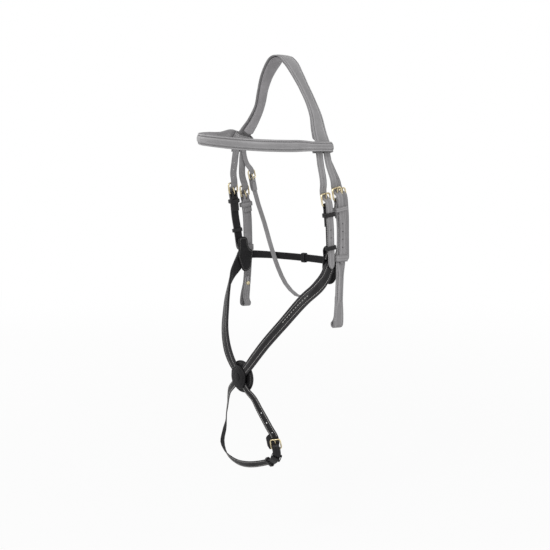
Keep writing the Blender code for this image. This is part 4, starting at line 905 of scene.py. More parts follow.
def lathe(name, profile, place, finishes, steps=64, parts=None):
    """A turned piece: rows of radius and height about the place's Z axis, closed at the axis or as a ring."""
    bm = bmesh.new()
    turns = [2 * math.pi * k / steps for k in range(steps)]
    loops = [[bm.verts.new((radius * math.cos(a), radius * math.sin(a), height))
              for a in (turns if radius else turns[:1])] for radius, height in profile]
    if profile[0][0]:
        loops.append(loops[0])
    for index, (first, second) in enumerate(zip(loops, loops[1:])):
        for k in range(steps):
            corners = [loop[n % steps % len(loop)] for loop, n in ((first, k), (second, k), (second, k + 1),
                                                                   (first, k + 1))]
            made = bm.faces.new(tuple(dict.fromkeys(corners)))
            made.material_index = parts[index] if parts else 0
    bmesh.ops.recalc_face_normals(bm, faces=bm.faces)
    mesh = write_mesh(bm, bpy.data.meshes.new(name))
    plain_finish(mesh)
    mesh.transform(Matrix.Scale(MM, 4) @ place)
    dress(mesh, finishes, TURNED_CREASE)
    return add_object(name, mesh)


def rounded_outline(width, height, corner, steps=6, straight=3):
    """Points of a rectangle with round corners about the origin."""
    points = []
    for quarter, (cx, cy) in enumerate(((1, 1), (-1, 1), (-1, -1), (1, -1))):
        for step in range(steps + 1):
            angle = math.pi / 2 * (quarter + step / steps)
            points.append((cx * (width / 2 - corner) + corner * math.cos(angle),
                           cy * (height / 2 - corner) + corner * math.sin(angle)))
    dense = []
    for first, second in zip(points, points[1:] + points[:1]):
        gap = math.dist(first, second)
        count = straight + 1 if gap > 1.5 * corner * math.pi / 2 / steps + 0.3 else 1
        dense += [tuple(a + (b - a) * k / count for a, b in zip(first, second)) for k in range(count)]
    return dense


def leather_loop(node, place, inner, height, finishes, middle, corner=1, crease=1.25):
    """A leather loop round a strap, standing in the place's X-Z plane, creased along both borders."""
    thick = KEEPER_LEATHER
    outline = np.array(rounded_outline(inner[0] + thick, inner[1] + thick, corner + thick / 2))
    ahead = units(np.roll(outline, -1, axis=0) - np.roll(outline, 1, axis=0))
    turn, origin = np.array(place.to_3x3()), np.array(place.translation)
    across, high, parts, look = section(height, thick, crease=crease, depth=0.3)
    rings = []
    for (x, z), (dx, dz) in zip(outline, ahead):
        ring = (x, 0, z + middle) + np.outer(across, (0, 1, 0)) + np.outer(high, (dz, 0, -dx))
        rings.append(ring @ turn.T + origin)
    made = skin(node + "_leather", rings, parts, finishes, [look] * len(rings), True)
    turn_faces_out(made.data)
    return settle(made, node)


def keeper(node, buckle, after, wide, finishes, both=True, height=7, room=0):
    """A keeper so far past the buckle, round the billet and, where both, round the turned-in end too."""
    lower = (-buckle.leather - SEAM / 2 - 0.4 if both else SEAM / 2) - room
    upper = 1.5 * SEAM + 2 * buckle.leather + (1 if both else 0.2) + room
    inner = (wide + 2 * RUNNING + room, upper - lower + 2 * RUNNING)
    leather_loop(node, buckle.line.frame(buckle.s + after), inner, height, finishes, (upper + lower) / 2)


def cut(thing, cutters):
    """Takes the cutters out of a piece and leaves a plain mesh."""
    for cutter in cutters:
        hole = thing.modifiers.new("cut", "BOOLEAN")
        hole.operation = "DIFFERENCE"
        hole.solver = "EXACT"
        hole.object = cutter
    mesh = plain_mesh(thing)
    thing.modifiers.clear()
    thing.data = mesh
    for cutter in cutters:
        bpy.data.objects.remove(cutter, do_unlink=True)
    return thing


def hole_cutter(places, radius, length=PUNCH_LENGTH, sides=20):
    bm = bmesh.new()
    for place in places:
        bmesh.ops.create_cone(bm, cap_ends=True, segments=sides, radius1=radius * MM, radius2=radius * MM,
                              depth=length * MM, matrix=scaled(place))
    return add_object("punch", write_mesh(bm, bpy.data.meshes.new("punch")))


def slot_cutter(buckle):
    """The opening in a folded strap end that its tongue turns in."""
    wide = 2 * buckle.wrap + 2 * buckle.leather
    bm = bmesh.new()
    bmesh.ops.create_cube(bm, size=1)
    bmesh.ops.scale(bm, vec=[v * MM for v in (2 * buckle.tongue + 1.6, wide + 2.4, wide)], verts=bm.verts)
    bmesh.ops.transform(bm, matrix=scaled(buckle.place), verts=bm.verts)
    return add_object("slot", write_mesh(bm, bpy.data.meshes.new("slot")))


def tongue_cutter(buckle):
    foot, tip = np.array(buckle.tongue_points[-2]), np.array(buckle.tongue_points[-1])
    run = tip - foot
    tilt = math.atan2(run[2], run[1]) + math.radians(3)
    local = Matrix.Translation(Vector(foot + run * 0.5)) @ Matrix.Rotation(tilt - math.pi / 2, 4, "X")
    return hole_cutter([buckle.place @ local], buckle.tongue + 0.85, buckle.length + 2)


# Stitching

def stitch_tree():
    """Geometry nodes that sew along a path: one thread-thick stitch per step, leaning a little."""
    found = bpy.data.node_groups.get("Saddle Stitches")
    if found:
        return found
    tree, given, end = new_group(
        "Saddle Stitches", "GeometryNodeTree",
        [("Geometry", "Geometry"), ("Spacing", "Float", 0.0033), ("Length", "Float", 0.0025),
         ("Thread", "Float", 0.0008), ("Lean", "Float", 0.16), ("Material", "Material")],
        [("Geometry", "Geometry")])
    thread = given["Thread"]
    path = add_node(tree, "GeometryNodeMeshToCurve", {"Mesh": given["Geometry"]})
    even = add_node(tree, "GeometryNodeResampleCurve", {"Curve": path["Curve"], "Length": given["Spacing"]},
                    mode="LENGTH")
    bead = add_node(tree, "GeometryNodeMeshUVSphere", {"Segments": 8, "Rings": 6, "Radius": 0.5})
    size = add_node(tree, "ShaderNodeCombineXYZ", {"X": thread, "Y": thread, "Z": given["Length"]})
    stitch = add_node(tree, "GeometryNodeTransform", {"Geometry": bead["Mesh"], "Scale": size[0]})
    along = add_node(tree, "GeometryNodeInputTangent")[0]
    aim = add_node(tree, "FunctionNodeAlignRotationToVector", {"Vector": along}, axis="Z")
    up = add_node(tree, "GeometryNodeInputNamedAttribute", {"Name": "up"}, data_type="FLOAT_VECTOR")
    roll = add_node(tree, "FunctionNodeAlignRotationToVector",
                    {"Rotation": aim["Rotation"], "Vector": up["Attribute"]}, axis="X", pivot_axis="Z")
    angle = add_node(tree, "ShaderNodeCombineXYZ", {"X": given["Lean"]})
    turn = add_node(tree, "FunctionNodeEulerToRotation", {"Euler": angle[0]})
    lean = add_node(tree, "FunctionNodeRotateRotation",
                    {"Rotation": roll["Rotation"], "Rotate By": turn["Rotation"]}, rotation_space="LOCAL")
    sewn = add_node(tree, "GeometryNodeInstanceOnPoints", {"Points": even["Curve"],
                                                           "Instance": stitch["Geometry"],
                                                           "Rotation": lean["Rotation"]})
    sewn = add_node(tree, "GeometryNodeRealizeInstances", {"Geometry": sewn["Instances"]})
    sewn = add_node(tree, "GeometryNodeSetShadeSmooth", {"Geometry": sewn["Geometry"]})
    sewn = add_node(tree, "GeometryNodeSetMaterial", {"Geometry": sewn["Geometry"],
                                                      "Material": given["Material"]})
    feed(tree, end, {"Geometry": sewn["Geometry"]})
    return tree


def sew(name, node, paths, **changes):
    """Stitches along paths of points and facing ways, as one plain mesh that moves with a CAD node."""
    verts, edges, ups = [], [], []
    for points, facing in paths:
        edges += [(len(verts) + k, len(verts) + k + 1) for k in range(len(points) - 1)]
        verts += [tuple(p) for p in points * MM]
        ups += [tuple(u) for u in facing]
    mesh = bpy.data.meshes.new(name + "_path")
    mesh.from_pydata(verts, edges, [])
    held = mesh.attributes.new("up", "FLOAT_VECTOR", "POINT")
    held.data.foreach_set("vector", np.array(ups, np.float32).ravel())
    guide = add_object(name + "_path", mesh)
    values = {"Spacing": sizes().stitch_spacing, "Length": sizes().stitch_length, "Thread": sizes().thread,
              "Material": sewing_material(SLOTS[node]), **changes}
    stitches = guide.modifiers.new("stitches", "NODES")
    stitches.node_group = stitch_tree()
    for item in stitches.node_group.interface.items_tree:
        if item.in_out == "INPUT" and item.name in values:
            stitches[item.identifier] = values[item.name]
    made = add_object(name, plain_mesh(guide))
    bpy.data.objects.remove(guide, do_unlink=True)
    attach(made, frame["nodes"][node]["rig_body"])


# The pieces

def make_brass(node, buckle):
    """The buckle's frame, a little wider at its shoulders, and its tongue with a tapered point."""
    width, length = buckle.inner + 2 * buckle.bar, buckle.length
    outline = rounded_outline(width, length, 3.6, 8, 8)
    points = [(x, y + length / 2, 0) for x, y in outline]
    radii = [buckle.bar * (0.94 if y < 1 else 1) for _, y, _ in points]
    settle(tube(node + "_frame_brass", points, radii, brass_material(), buckle.place, True, 18),
           node + "_frame")
    bend = np.array(buckle.tongue_points)
    straight = [bend[-2] + (bend[-1] - bend[-2]) * f for f in np.linspace(0, 1, 12)[1:]]
    points = list(bend[:-1]) + straight
    radii = [buckle.tongue] * (len(points) - 5) + [buckle.tongue * f for f in (0.99, 0.97, 0.94, 0.88, 0.8)]
    settle(tube(node + "_tongue_brass", points, radii, brass_material(), buckle.place), node + "_tongue")


def make_billet(node, buckle, flat, width, tail, tip, finishes, holes=(), **form):
    """A billet through its buckle to its pointed tail, open for the tongue and punched."""
    profile = [(s, 0, width) for s in flat] + buckle.billet(width, tail)
    strap = Strap(buckle.line, profile, buckle.leather, (0, tip), **form)
    cutters = [tongue_cutter(buckle)]
    if holes:
        cutters.append(hole_cutter([buckle.line.frame(s) for s in holes], PUNCH_RADIUS))
    strap.settled(node, finishes, cutters)
    return strap


def make_headpiece():
    crown, widths = crown_line()
    middle = crown.length / 2
    above = BROWBAND_END_WIDTH / 2
    near_loop = crown.where(2, brow_level(CROWN_END_HALF) + above + 5, middle)
    far_loop = crown.length - crown.where(2, brow_level(-CROWN_END_HALF) + above + 3, middle)
    rows = [(s, CROWN_PARTING * ramp(abs(s - middle) / middle - 0.5, 0.35), width) for s, width in widths]
    outer = Strap(crown, rows, LEATHER, bow=0.35, rise=CROWN_SWELL, crease=3.7, depth=0.75, groove=1.5,
                  rim=0.3, finest=4)
    outer.settled("crown_outer", grey_set(), sewn=(3, -3))
    rows = [(s, PAD_DEPTH, width - 2 * CROWN_PAD_INSET) for s, width in widths if far_loop < s < near_loop]
    rows.insert(0, (far_loop, PAD_DEPTH, CROWN_WAIST_WIDTH))
    rows.append((near_loop, PAD_DEPTH, CROWN_WAIST_WIDTH + 3))
    pad = Strap(crown, rows, CROWN_PAD, tips=(4, 4), shape=pad_section, finest=4)
    pad.settled("crown_lining", lining_set(), padded=0.7)


def make_browband():
    crown, _ = crown_line()
    inner_edge = -(LEATHER / 2 + 2 * SEAM + THIN_LEATHER + 0.3)
    outer_edge = CROWN_PARTING + LEATHER / 2 + CROWN_SWELL
    size = (CROWN_END_WIDTH + 2 * LOOP_END_SLACK, outer_edge - inner_edge + 2 * LOOP_SLACK)
    for side, sign in SIDES:
        leather_loop(side + "_browband_loop", crown.frame(loop_place(crown, sign)), size, BROWBAND_END_WIDTH,
                     grey_set(), (outer_edge + inner_edge) / 2, 3, 1.9)
    line = browband_line(crown, outer_edge + LOOP_SLACK + KEEPER_LEATHER + 1.5 * SEAM + LEATHER / 2)
    flat, padded = 42, 70

    def share(s):
        return ramp(min(s, line.length - s) - flat, padded - flat)

    def bow(s):
        return (BROWBAND_ROLL - 1.1) * share(s)

    stops = [0, flat, padded] + [padded + (line.length - 2 * padded) * k / 8 for k in range(1, 8)]
    stops += [line.length - padded, line.length - flat, line.length]
    rows = [(s, 0, BROWBAND_END_WIDTH + share(s) * (BROWBAND_WIDTH - BROWBAND_END_WIDTH)) for s in stops]
    band = Strap(line, rows, LEATHER, tips=(4, 4), bow=bow, rise=lambda s: 1.3 * share(s), crease=3.3,
                 depth=lambda s: 0.3 + 0.45 * share(s), groove=1.4, rim=lambda s: 0.2 * share(s), finest=4)
    band.settled("browband_front", grey_set())
    sew("browband_stitches", "browband_front", band.both_seams(5, -5))
    back = -LEATHER / 2 - 1.5 * SEAM - BROWBAND_PAD / 2
    rows = [(s, back, BROWBAND_WIDTH - 1.5) for s in stops if flat + 4 < s < line.length - flat - 4]
    pad = Strap(line, rows, BROWBAND_PAD, tips=(5, 5), bow=bow, shape=pad_section, finest=4)
    pad.settled("browband_lining", lining_set(), padded=0.7)


def make_cheeks():
    for side, _ in SIDES:
        line, name = cheek_line().on(side), side + "_cheek"
        buckle = Buckle(line, line.where(2, -CHEEK_BUCKLE_DROP), CHEEK_BILLET_WIDTH)
        make_billet(name + "_billet", buckle, (2, 30), CHEEK_BILLET_WIDTH, buckle.s + 106, 10,
                    grey_set(), [buckle.s + 40 + PUNCH_PITCH * k for k in range(4)])
        fold, ring = buckle.fold, BIT_LOOP / 2 + LEATHER / 2
        low = line.where(2, -BIT_DROP[side]) - ring
        roll, end = CHEEK_ROLL_WIDTH, BIT_END_WIDTH
        profile = buckle.chape(30, CHEEK_BILLET_WIDTH - 1, CHEEK_WIDTH)
        profile += [(buckle.s + 108, fold, CHEEK_WIDTH), (buckle.s + 124, fold, roll),
                    (low - 38, fold, roll), (low - 26, fold, 0.5 * (roll + end)),
                    (low - 16, fold, end - 1), (low - 5, fold, end)]
        for step, narrowed in enumerate((0.6, 0.9, 1.8, 3.6, 6.4, 7.2, 7.4, 7.4, 7.4)):
            angle = math.radians(22.5 * step)
            profile.append((low + ring * math.sin(angle), fold - ring + ring * math.cos(angle),
                            end - narrowed))
        for above, gap, narrowed in ((7, 0.6 * ring, 2), (16, 0.4, 2), (26, 0, 2),
                                     (34, 0, 3), (52, 0, 3)):
            profile.append((low - above, -fold - gap, roll - narrowed))

        def rolled(s):
            return ramp(s - buckle.s - 109, 12) * ramp(low - 30 - s, 10)

        cheek = Strap(line, profile, LEATHER, (0, 8), rise=lambda s: 1.7 * rolled(s),
                      crease=lambda s: 2.6 + 1.3 * rolled(s), depth=lambda s: 0.3 + 0.4 * rolled(s),
                      groove=lambda s: 0.8 + 0.7 * rolled(s))
        hook, begin = line.frame(low - 38), 54 + buckle.wrap
        cheek.settled(side + "_cheekpiece", grey_set(),
                      [slot_cutter(buckle), hole_cutter([hook], HOOK_RADIUS + SEAM)],
                      sewn=(begin, begin + low - buckle.s - 22))
        make_hook_stud(side + "_hook_stud", hook, fold + LEATHER / 2 + SEAM)
        keeper(name + "_fixed_keeper", buckle, 16, CHEEK_WIDTH, grey_set(), height=8)
        keeper(name + "_runner", buckle, 97, CHEEK_WIDTH, grey_set(), False, 11)
        make_brass(name, buckle)


def make_hook_stud(node, place, top):
    """The stud through the folded bit end: leather-covered inside, brass outside."""
    stud = [(r, top + rise) for r, rise in ((0, 0.9), (1.4, 0.86), (2.3, 0.62), (2.8, 0.25), (2.9, 0),
                                            (HOOK_RADIUS, 0))]
    stud += [(r, -top - rise) for r, rise in ((HOOK_RADIUS, 0), (3.8, 0), (3.7, 0.8), (3.4, 1.4),
                                              (1.8, 1.7), (0, 1.8))]
    settle(lathe(node + "_brass", stud, place, [brass_material(), grey_set()[0]], 32, [1] * 5 + [0] * 6),
           node)


def make_hangers():
    for side, _ in SIDES:
        line, name = noseband_line().on(side), side + "_noseband"
        buckle = Buckle(line, line.where(2, -NOSE_BUCKLE_DROP[side]), NOSE_BILLET_WIDTH)
        holes = [buckle.s - 30 - PUNCH_PITCH * k for k in range(3)] + [buckle.s + 40, buckle.s + 53]
        make_billet(name + "_billet", buckle, (1, 30), NOSE_BILLET_WIDTH,
                    min(line.length - 2, buckle.s + 108), 11, grey_set(), holes)
        dip = line.where(2, -JUNCTION_DROP + 24)
        last = dip + 13
        seat = JUNCTION_FACE + LEATHER / 2 - abs(line.at(last)[0][0])
        way = ((dip - 8, buckle.fold), (dip, buckle.fold), (last - 7, 0.55 * seat), (last - 2, seat),
               (last, seat))
        hanger = Strap(line, buckle.chape(34, NOSE_BILLET_WIDTH - 1.5, HANGER_WIDTH)
                       + [(s, n, HANGER_WIDTH) for s, n in way], LEATHER)
        hanger.settled(side + "_hanger", black_set(), [slot_cutter(buckle)], sewn=(60 + buckle.wrap, -1))
        keeper(name + "_fixed_keeper", buckle, 15.5, HANGER_WIDTH, black_set())
        keeper(name + "_runner", buckle, 70, HANGER_WIDTH, black_set(), False)
        make_brass(name, buckle)


def junction_outline():
    drop = -JUNCTION_DROP
    hanger, jaw = HANGER_WIDTH / 2 - 0.5, JAW_WIDTH / 2
    return [(-2.5 - hanger, drop + 31), (-2 + hanger, drop + 31), (1 + hanger, drop + 19),
            (13, drop + jaw + 3.5), (19, drop + jaw), (19, drop - jaw), (17.5, drop - jaw - 4),
            (17, drop - 17), (15, drop - 23.5), (11, drop - 28.5), (4, drop - 31),
            (-2, drop - 30), (-6, drop - 23.5), (-9.5, drop - 15), (-13, drop - 5),
            (-13, drop + 4), (-11.5, drop + 14)]


def border_seam(outline, inset, x, facing):
    """A closed path so far inside an outline of y and z, on the plane at x."""
    closed = outline + outline[:2]
    dense = smooth_curve([(y, z, 0) for y, z in [outline[-1]] + closed], 10)[10:-10, :2]
    ahead = units(np.gradient(dense, axis=0))
    inside = dense + inset * np.column_stack([ahead[:, 1], -ahead[:, 0]])
    points = np.column_stack([np.full(len(inside), x), inside])
    return points, np.tile((facing, 0, 0), (len(points), 1))


def make_junctions():
    """The sewn plates behind the crossing of the hanger, nose strap and jaw strap."""
    for side, sign in SIDES:
        node = side + "_junction"
        data = bpy.data.curves.new(node, "CURVE")
        data.dimensions, data.fill_mode = "2D", "BOTH"
        data.extrude = (JUNCTION_PLATE / 2 - PLATE_EDGE) * MM
        data.bevel_depth, data.offset = PLATE_EDGE * MM, -PLATE_EDGE * MM
        data.bevel_resolution, data.resolution_u = 2, 8
        spline = data.splines.new("BEZIER")
        spline.bezier_points.add(len(junction_outline()) - 1)
        for point, (y, z) in zip(spline.bezier_points, junction_outline()):
            point.co = (y * MM, z * MM, 0)
            point.handle_left_type = point.handle_right_type = "AUTO"
        spline.use_cyclic_u = True
        raw = add_object(node + "_outline", data)
        mesh = plain_mesh(raw)
        bpy.data.objects.remove(raw, do_unlink=True)
        inset = JUNCTION_FACE - SEAM - JUNCTION_PLATE / 2
        mesh.transform(Matrix(((0, 0, 1, sign * inset * MM), (1, 0, 0, 0),
                               (0, 1, 0, 0), (0, 0, 0, 1))))
        turn_faces_out(mesh, 0.00002)
        plain_finish(mesh)
        mesh.materials.clear()
        dress(mesh, [leather("black plate", tuple(colours().black), 0.45, sheen=0.2)], TURNED_CREASE)
        settle(add_object(node + "_leather", mesh), node)
        seam = border_seam(junction_outline(), 2.4, sign * (inset - JUNCTION_PLATE / 2 - 0.1), -sign)
        sew(node + "_stitches", node, [seam], Material=dark_thread())


def make_nose():
    near = nose_line()
    for side, _ in SIDES:
        line, node = near.on(side), side + "_nose_strap"
        widths = [(0, 17), (10, 21), (24, NOSE_STRAP_WIDTH + 1.5), (60, NOSE_STRAP_WIDTH),
                  (line.length - 40, NOSE_STRAP_WIDTH - 1), (line.length, 16)]
        strap = Strap(line, [(s, 0, w) for s, w in widths], NOSE_PAD, (8, 0), bow=0.3, rise=0.7,
                      crease=4.2, depth=0.7, groove=1.4, rim=0.15)
        strap.settled(node, black_set(), padded=0.6, sewn=(4, -4))
        if side == "near":
            lacing = strap.seam(1, 72, 138, NOSE_STRAP_WIDTH / 2)
            sew("nose_strap_lacing", node, [lacing], Spacing=0.0052, Length=0.0036, Thread=0.0014)
    place = Matrix.Rotation(math.pi / 2, 4, "X")
    place.translation = Vector((0, -NOSE_REACH, -DISC_DROP))
    black = leather("black disc", tuple(colours().black), 0.45, tint=0.3, sheen=0.16)
    cushioned = leather("black pad", tuple(colours().black), 0.5, 1000, 0.3, bump=0.4, sheen=0.24)
    make_disc(place, black)
    make_cushion(place @ Matrix.Diagonal((DISC_PAD_SPREAD, 1, 1, 1)), cushioned)
    make_button(place, black)


def make_disc(place, finish):
    """The round cover, domed inside a pressed ring, with a boss through the crossed straps."""
    radius, low = DISC_DIAMETER / 2, DISC_BACK + SEAM
    rim = [(RIVET_BORE, 0.8), (6, 0.78), (9, 0.68), (12.5, 0.4), (15.2, -0.05), (16, -0.4), (16.5, -0.75),
           (17, -0.5), (18, -0.5), (19, -0.8), (19.7, -1.3), (radius, -1.9)]
    rim = [(r, DISC_FACE + rise) for r, rise in rim]
    rim += [(radius, DISC_SEAT + 0.5), (radius - 0.3, DISC_SEAT + 0.12), (radius - 0.8, DISC_SEAT),
            (DISC_BOSS, DISC_SEAT), (DISC_BOSS - 0.2, low), (RIVET_BORE, low)]
    settle(lathe("nose_disc_leather", rim, place, [finish], 96), "nose_disc")


def make_cushion(place, finish):
    """The oval pad behind the disc, drawn in along its ring of stitches."""
    edge, back, rear = DISC_PAD_DIAMETER / 2, DISC_BACK, DISC_BACK - DISC_PAD
    sewn = edge - 4
    pad = [(RIVET_BORE, back)] + [(sewn + r, back + rise) for r, rise in (
        (-1.3, 0), (-0.7, -0.15), (-0.3, -0.6), (0.3, -0.6), (0.7, -0.1), (1.6, 0.05))]
    pad += [(edge + r, back - fall) for r, fall in ((-1.4, 0.1), (-0.2, 0.6), (0.4, 1.8), (0.1, 3))]
    pad += [(edge + r, rear + rise) for r, rise in ((-1, 0.9), (-2.4, 0.2), (-4, 0))]
    recess = RIVET_FOOT + 2 * SEAM
    pad += [(recess, rear), (recess, rear + RIVET_RECESS), (RIVET_BORE, rear + RIVET_RECESS)]
    settle(lathe("nose_disc_cushion", pad, place, [finish], 96), "nose_disc_pad", 0.7)
    turn = np.linspace(0, 2 * math.pi, 140)
    proud = np.full(len(turn), -NOSE_REACH - back + 0.35)
    ring = np.column_stack([DISC_PAD_SPREAD * sewn * np.cos(turn), proud, -DISC_DROP + sewn * np.sin(turn)])
    sew("nose_disc_stitches", "nose_disc", [(ring, np.tile((0, -1, 0), (len(turn), 1)))],
        Material=dark_thread())


def make_button(place, finish):
    """The rivet's flat leather head, its shank and its foot in the pad's recess."""
    front, tail, foot = DISC_FACE + 0.8 + SEAM, DISC_BACK - DISC_PAD + RIVET_RECESS - SEAM, RIVET_FOOT
    button = [(r, front + rise) for r, rise in ((0, 0.8), (2.5, 0.76), (4.5, 0.62), (6, 0.38), (6.8, 0.16),
                                                (7, 0.06), (6.9, 0), (RIVET_RADIUS, 0))]
    button += [(RIVET_RADIUS, tail), (foot, tail), (foot - 0.1, tail - 0.5), (foot - 0.6, tail - 1),
               (2.4, tail - 1.25), (0, tail - 1.3)]
    settle(lathe("nose_disc_button", button, place, [finish], 48), "nose_disc_rivet")


def small_strap(name, buckle, width, rest):
    """A narrow black strap from its buckle along the rest of its line."""
    profile = buckle.chape(24, width - 2, width, 22) + [(buckle.line.length / 2, buckle.fold, width)] + rest
    strap = Strap(buckle.line, profile, THIN_LEATHER, **BORDER)
    strap.settled(name + "_strap", black_set(), [slot_cutter(buckle)])
    return strap


def small_fittings(name, buckle, width, runner_at, runner_height):
    """A narrow strap's sewn keeper, its sliding one and its brass."""
    keeper(name + "_fixed_keeper", buckle, 15, width, black_set(), height=6, room=0.5)
    keeper(name + "_runner", buckle, runner_at, width, black_set(), False, runner_height, 0.8)
    make_brass(name, buckle)


def make_chin():
    line, width = chin_line(), CHIN_WIDTH
    heel = line.where(2, 47 - DISC_DROP - CHIN_FALL)
    buckle = Buckle(line, heel, width, small=True)
    billet = make_billet("near_lower_billet", buckle, (2, 20), width, line.where(0, 40, heel), 9,
                         black_set(), [heel - 28 - 19 * k for k in range(3)], **BORDER)
    sew("near_lower_billet_stitches", "near_lower_billet", billet.both_seams(4, heel - 20))
    strap = small_strap("chin", buckle, width, [(line.length - 60, 0, width), (line.length - 2, 0, width)])
    sew("chin_strap_stitches", "chin_strap", strap.both_seams(SMALL_SEAM_START + buckle.wrap, -4))
    safe = -buckle.behind - THIN_LEATHER - 1.5 * SEAM
    outline = ((-28, SAFE_WIDTH - 4), (-21, SAFE_WIDTH), (-6, SAFE_WIDTH), (1, SAFE_WIDTH - 5))
    shield = Strap(line.moved_aside(-SAFE_SHIFT), [(heel + after, safe, wide) for after, wide in outline],
                   THIN_LEATHER, (5, 0), crease=1.5)
    shield.settled("chin_buckle_safe", black_set())
    small_fittings("chin", buckle, width, 42, 7)


def make_jaw():
    line, width = jaw_line(), JAW_WIDTH
    buckle = Buckle(line, JAW_BUCKLE_RUN, width, small=True)
    billet = make_billet("jaw_billet", buckle, (0, 12), width, line.where(0, -38), 8, black_set(), **BORDER)
    strap = small_strap("jaw", buckle, width, [(line.length - 50, 0, width), (line.length - 24, 0, width + 1),
                                               (line.length, 0, width + 2)])
    sew("jaw_strap_stitches", "jaw_strap",
        strap.both_seams(SMALL_SEAM_START + buckle.wrap, -2) + billet.both_seams(58, -8))
    small_fittings("jaw", buckle, width, line.where(0, -29) - buckle.s, 8)


def make_throat():
    line = throat_strap_line()
    buckles, ends = [], []
    for side, _ in SIDES:
        own, name = throat_billet_line(side), side + "_throat"
        buckle = Buckle(own, own.where(2, -THROAT_BUCKLE_DROP[side]), THROAT_WIDTH, small=True)
        make_billet(name + "_billet", buckle, (1, 20), THROAT_WIDTH, own.length, 7, grey_set(),
                    crease=1.3)
        make_brass(name, buckle)
        after = 0 if side == "near" else line.length / 2
        heel = line.where(2, -THROAT_BUCKLE_DROP[side], after)
        end = buckle.chape(22, THROAT_WIDTH - 2, THROAT_WIDTH, 22, heel)
        ends += end if side == "near" else [(2 * heel - s, n, w) for s, n, w in end[::-1]]
        buckles.append(buckle)
    strap = Strap(line, ends, THIN_LEATHER, crease=1.3)
    strap.settled("throat_strap", grey_set(), [slot_cutter(buckle) for buckle in buckles])


def seen_rays(tree):
    """1 for the rays that show the background: the camera's own and those in gloss and glass."""
    rays = add_node(tree, "ShaderNodeLightPath")
    seen = maths(tree, "MAXIMUM", rays["Is Camera Ray"], rays["Is Glossy Ray"])
    return maths(tree, "MAXIMUM", seen, rays["Is Transmission Ray"])


def show_white(tree, end, own, white, share):
    """White takes the place of a surface's own light, for a share of it."""
    mix = add_node(tree, "ShaderNodeMixShader", {"Fac": share, 1: own, 2: white})
    feed(tree, tree.nodes[end], {"Surface": mix[0]})


def make_stage():
    """Pale floor, white surround, soft lamps and the photograph's camera."""
    scene, white = bpy.context.scene, (1, 1, 1, 1)
    bm = bmesh.new()
    bmesh.ops.create_grid(bm, x_segments=1, y_segments=1, size=12,
                          matrix=Matrix.Translation((0, 0, FLOOR_LEVEL)))
    floor = add_object("floor", write_mesh(bm, bpy.data.meshes.new("floor")))
    pale, tree, shader = new_material("pale floor")
    feed(tree, shader, {"Base Color": (0.8, 0.8, 0.8, 1), "Roughness": 0.9})
    far = add_node(tree, "ShaderNodeVectorMath", {0: on_piece(tree)}, operation="LENGTH")["Value"]
    fade = add_node(tree, "ShaderNodeMapRange", {"From Min": 0.1, "From Max": 3.6, "To Min": 0.86,
                                                 "To Max": 1, "Value": far},
                    interpolation_type="SMOOTHERSTEP")
    show_white(tree, "Material Output", shader.outputs[0],
               add_node(tree, "ShaderNodeEmission", {"Color": white})[0],
               maths(tree, "MULTIPLY", seen_rays(tree), fade["Result"]))
    floor.data.materials.append(pale)
    scene.world = bpy.data.worlds.new("studio")
    scene.world.use_nodes = True
    tree = scene.world.node_tree
    around = tree.nodes["Background"]
    feed(tree, around, {"Color": white, "Strength": 0.45})
    plain = add_node(tree, "ShaderNodeBackground", {"Color": white, "Strength": 1})
    show_white(tree, "World Output", around.outputs[0], plain[0], seen_rays(tree))
    middle = Vector((0, 0, -0.3))
    for name, place, power, size in (
            ("key", (0.9, -2, 1), 34, 0.7), ("fill", (1.9, 0.2, 0.2), 11, 1.2),
            ("rear", (-0.4, 1.9, 0.9), 12, 1.4), ("far", (-1.9, -0.4, 0.2), 7, 1.2)):
        lamp = bpy.data.lights.new(name, "AREA")
        lamp.energy, lamp.size = power, size
        made = add_object(name, lamp)
        made.location = place
        made.rotation_mode = "QUATERNION"
        made.rotation_quaternion = (Vector(place) - middle).to_track_quat("Z", "Y")
    eye = bpy.data.cameras.new("photograph")
    eye.sensor_width = SENSOR
    eye.lens = CAMERA_FOCAL_PIXELS / PHOTO_PIXELS * SENSOR
    eye.clip_start, eye.clip_end = 0.05, 60
    scene.camera = add_object("photograph", eye)
    a, e = math.radians(CAMERA_AZIMUTH), math.radians(CAMERA_ELEVATION)
    right = Vector((math.cos(a), math.sin(a), 0))
    back = Vector((math.sin(a) * math.cos(e), -math.cos(a) * math.cos(e), math.sin(e)))
    turned = Matrix((right, back.cross(right), back)).transposed().to_4x4()
    scene.camera.matrix_world = Matrix.Translation(CAMERA_PLACE) @ turned
    scene.view_settings.view_transform = "Standard"


# Operators

class BRIDLE_OT_headpiece(bpy.types.Operator):
    """Builds the crown and its padded lining"""
    bl_idname = "bridle.headpiece"
    bl_label = "Headpiece"

    def execute(self, context):
        make_headpiece()
        return {"FINISHED"}


class BRIDLE_OT_browband(bpy.types.Operator):
    """Builds the padded browband and the loops at its ends"""
    bl_idname = "bridle.browband"
    bl_label = "Browband"

    def execute(self, context):
        make_browband()
        return {"FINISHED"}


class BRIDLE_OT_cheeks(bpy.types.Operator):
    """Builds the cheekpieces with their billets, keepers and buckles"""
    bl_idname = "bridle.cheeks"
    bl_label = "Cheekpieces"

    def execute(self, context):
        make_cheeks()
        return {"FINISHED"}


class BRIDLE_OT_hangers(bpy.types.Operator):
    """Builds the noseband's hangers, billets, plates and buckles"""
    bl_idname = "bridle.hangers"
    bl_label = "Noseband Hangers"

    def execute(self, context):
        make_hangers()
        make_junctions()
        return {"FINISHED"}


class BRIDLE_OT_nose(bpy.types.Operator):
    """Builds the padded nose straps and the round disc"""
    bl_idname = "bridle.nose"
    bl_label = "Nose Straps"

    def execute(self, context):
        make_nose()
        return {"FINISHED"}


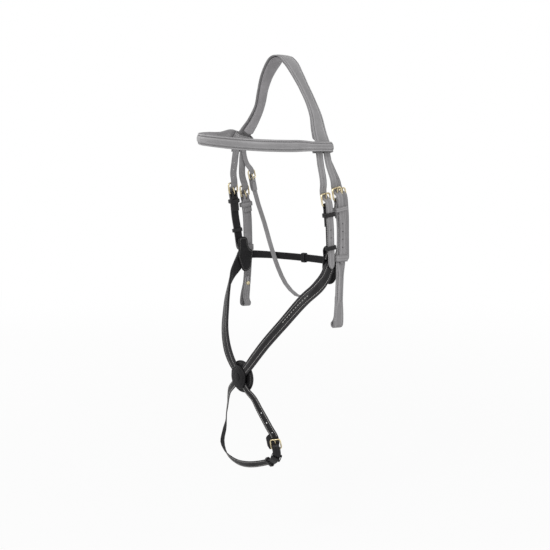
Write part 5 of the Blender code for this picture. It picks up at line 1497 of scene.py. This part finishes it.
class BRIDLE_OT_chin(bpy.types.Operator):
    """Builds the lower straps round the chin"""
    bl_idname = "bridle.chin"
    bl_label = "Chin Straps"

    def execute(self, context):
        make_chin()
        return {"FINISHED"}


class BRIDLE_OT_jaw(bpy.types.Operator):
    """Builds the strap behind the jaw"""
    bl_idname = "bridle.jaw"
    bl_label = "Jaw Strap"

    def execute(self, context):
        make_jaw()
        return {"FINISHED"}


class BRIDLE_OT_throat(bpy.types.Operator):
    """Builds the throat strap, its billets and buckles"""
    bl_idname = "bridle.throat"
    bl_label = "Throat Strap"

    def execute(self, context):
        make_throat()
        return {"FINISHED"}


class BRIDLE_OT_stage(bpy.types.Operator):
    """Builds the floor, lamps and camera"""
    bl_idname = "bridle.stage"
    bl_label = "Stage"

    def execute(self, context):
        make_stage()
        return {"FINISHED"}


OPERATORS = (BRIDLE_OT_headpiece, BRIDLE_OT_browband, BRIDLE_OT_cheeks, BRIDLE_OT_hangers, BRIDLE_OT_nose,
             BRIDLE_OT_chin, BRIDLE_OT_jaw, BRIDLE_OT_throat, BRIDLE_OT_stage)


class BRIDLE_PT_panel(bpy.types.Panel):
    """Lists the bridle's pieces and their sizes"""
    bl_idname = "BRIDLE_PT_panel"
    bl_label = "Figure Eight Bridle"
    bl_space_type = "VIEW_3D"
    bl_region_type = "UI"
    bl_category = "Bridle"

    def draw(self, context):
        for group in (context.scene.bridle_sizes, context.scene.bridle_colours):
            for name in group.__annotations__:
                self.layout.prop(group, name)
        for operator in OPERATORS:
            self.layout.operator(operator.bl_idname)


CLASSES = (BridleSizes, BridleColours) + OPERATORS + (BRIDLE_PT_panel,)


def register():
    for kind in CLASSES:
        bpy.utils.register_class(kind)
    bpy.types.Scene.bridle_sizes = PointerProperty(type=BridleSizes)
    bpy.types.Scene.bridle_colours = PointerProperty(type=BridleColours)


def unregister():
    del bpy.types.Scene.bridle_colours
    del bpy.types.Scene.bridle_sizes
    for kind in reversed(CLASSES):
        bpy.utils.unregister_class(kind)


def main():
    register()
    bpy.ops.bridle.headpiece()
    bpy.ops.bridle.browband()
    bpy.ops.bridle.cheeks()
    bpy.ops.bridle.hangers()
    bpy.ops.bridle.nose()
    bpy.ops.bridle.chin()
    bpy.ops.bridle.jaw()
    bpy.ops.bridle.throat()
    bpy.ops.bridle.stage()


if __name__ == "__main__":
    main()
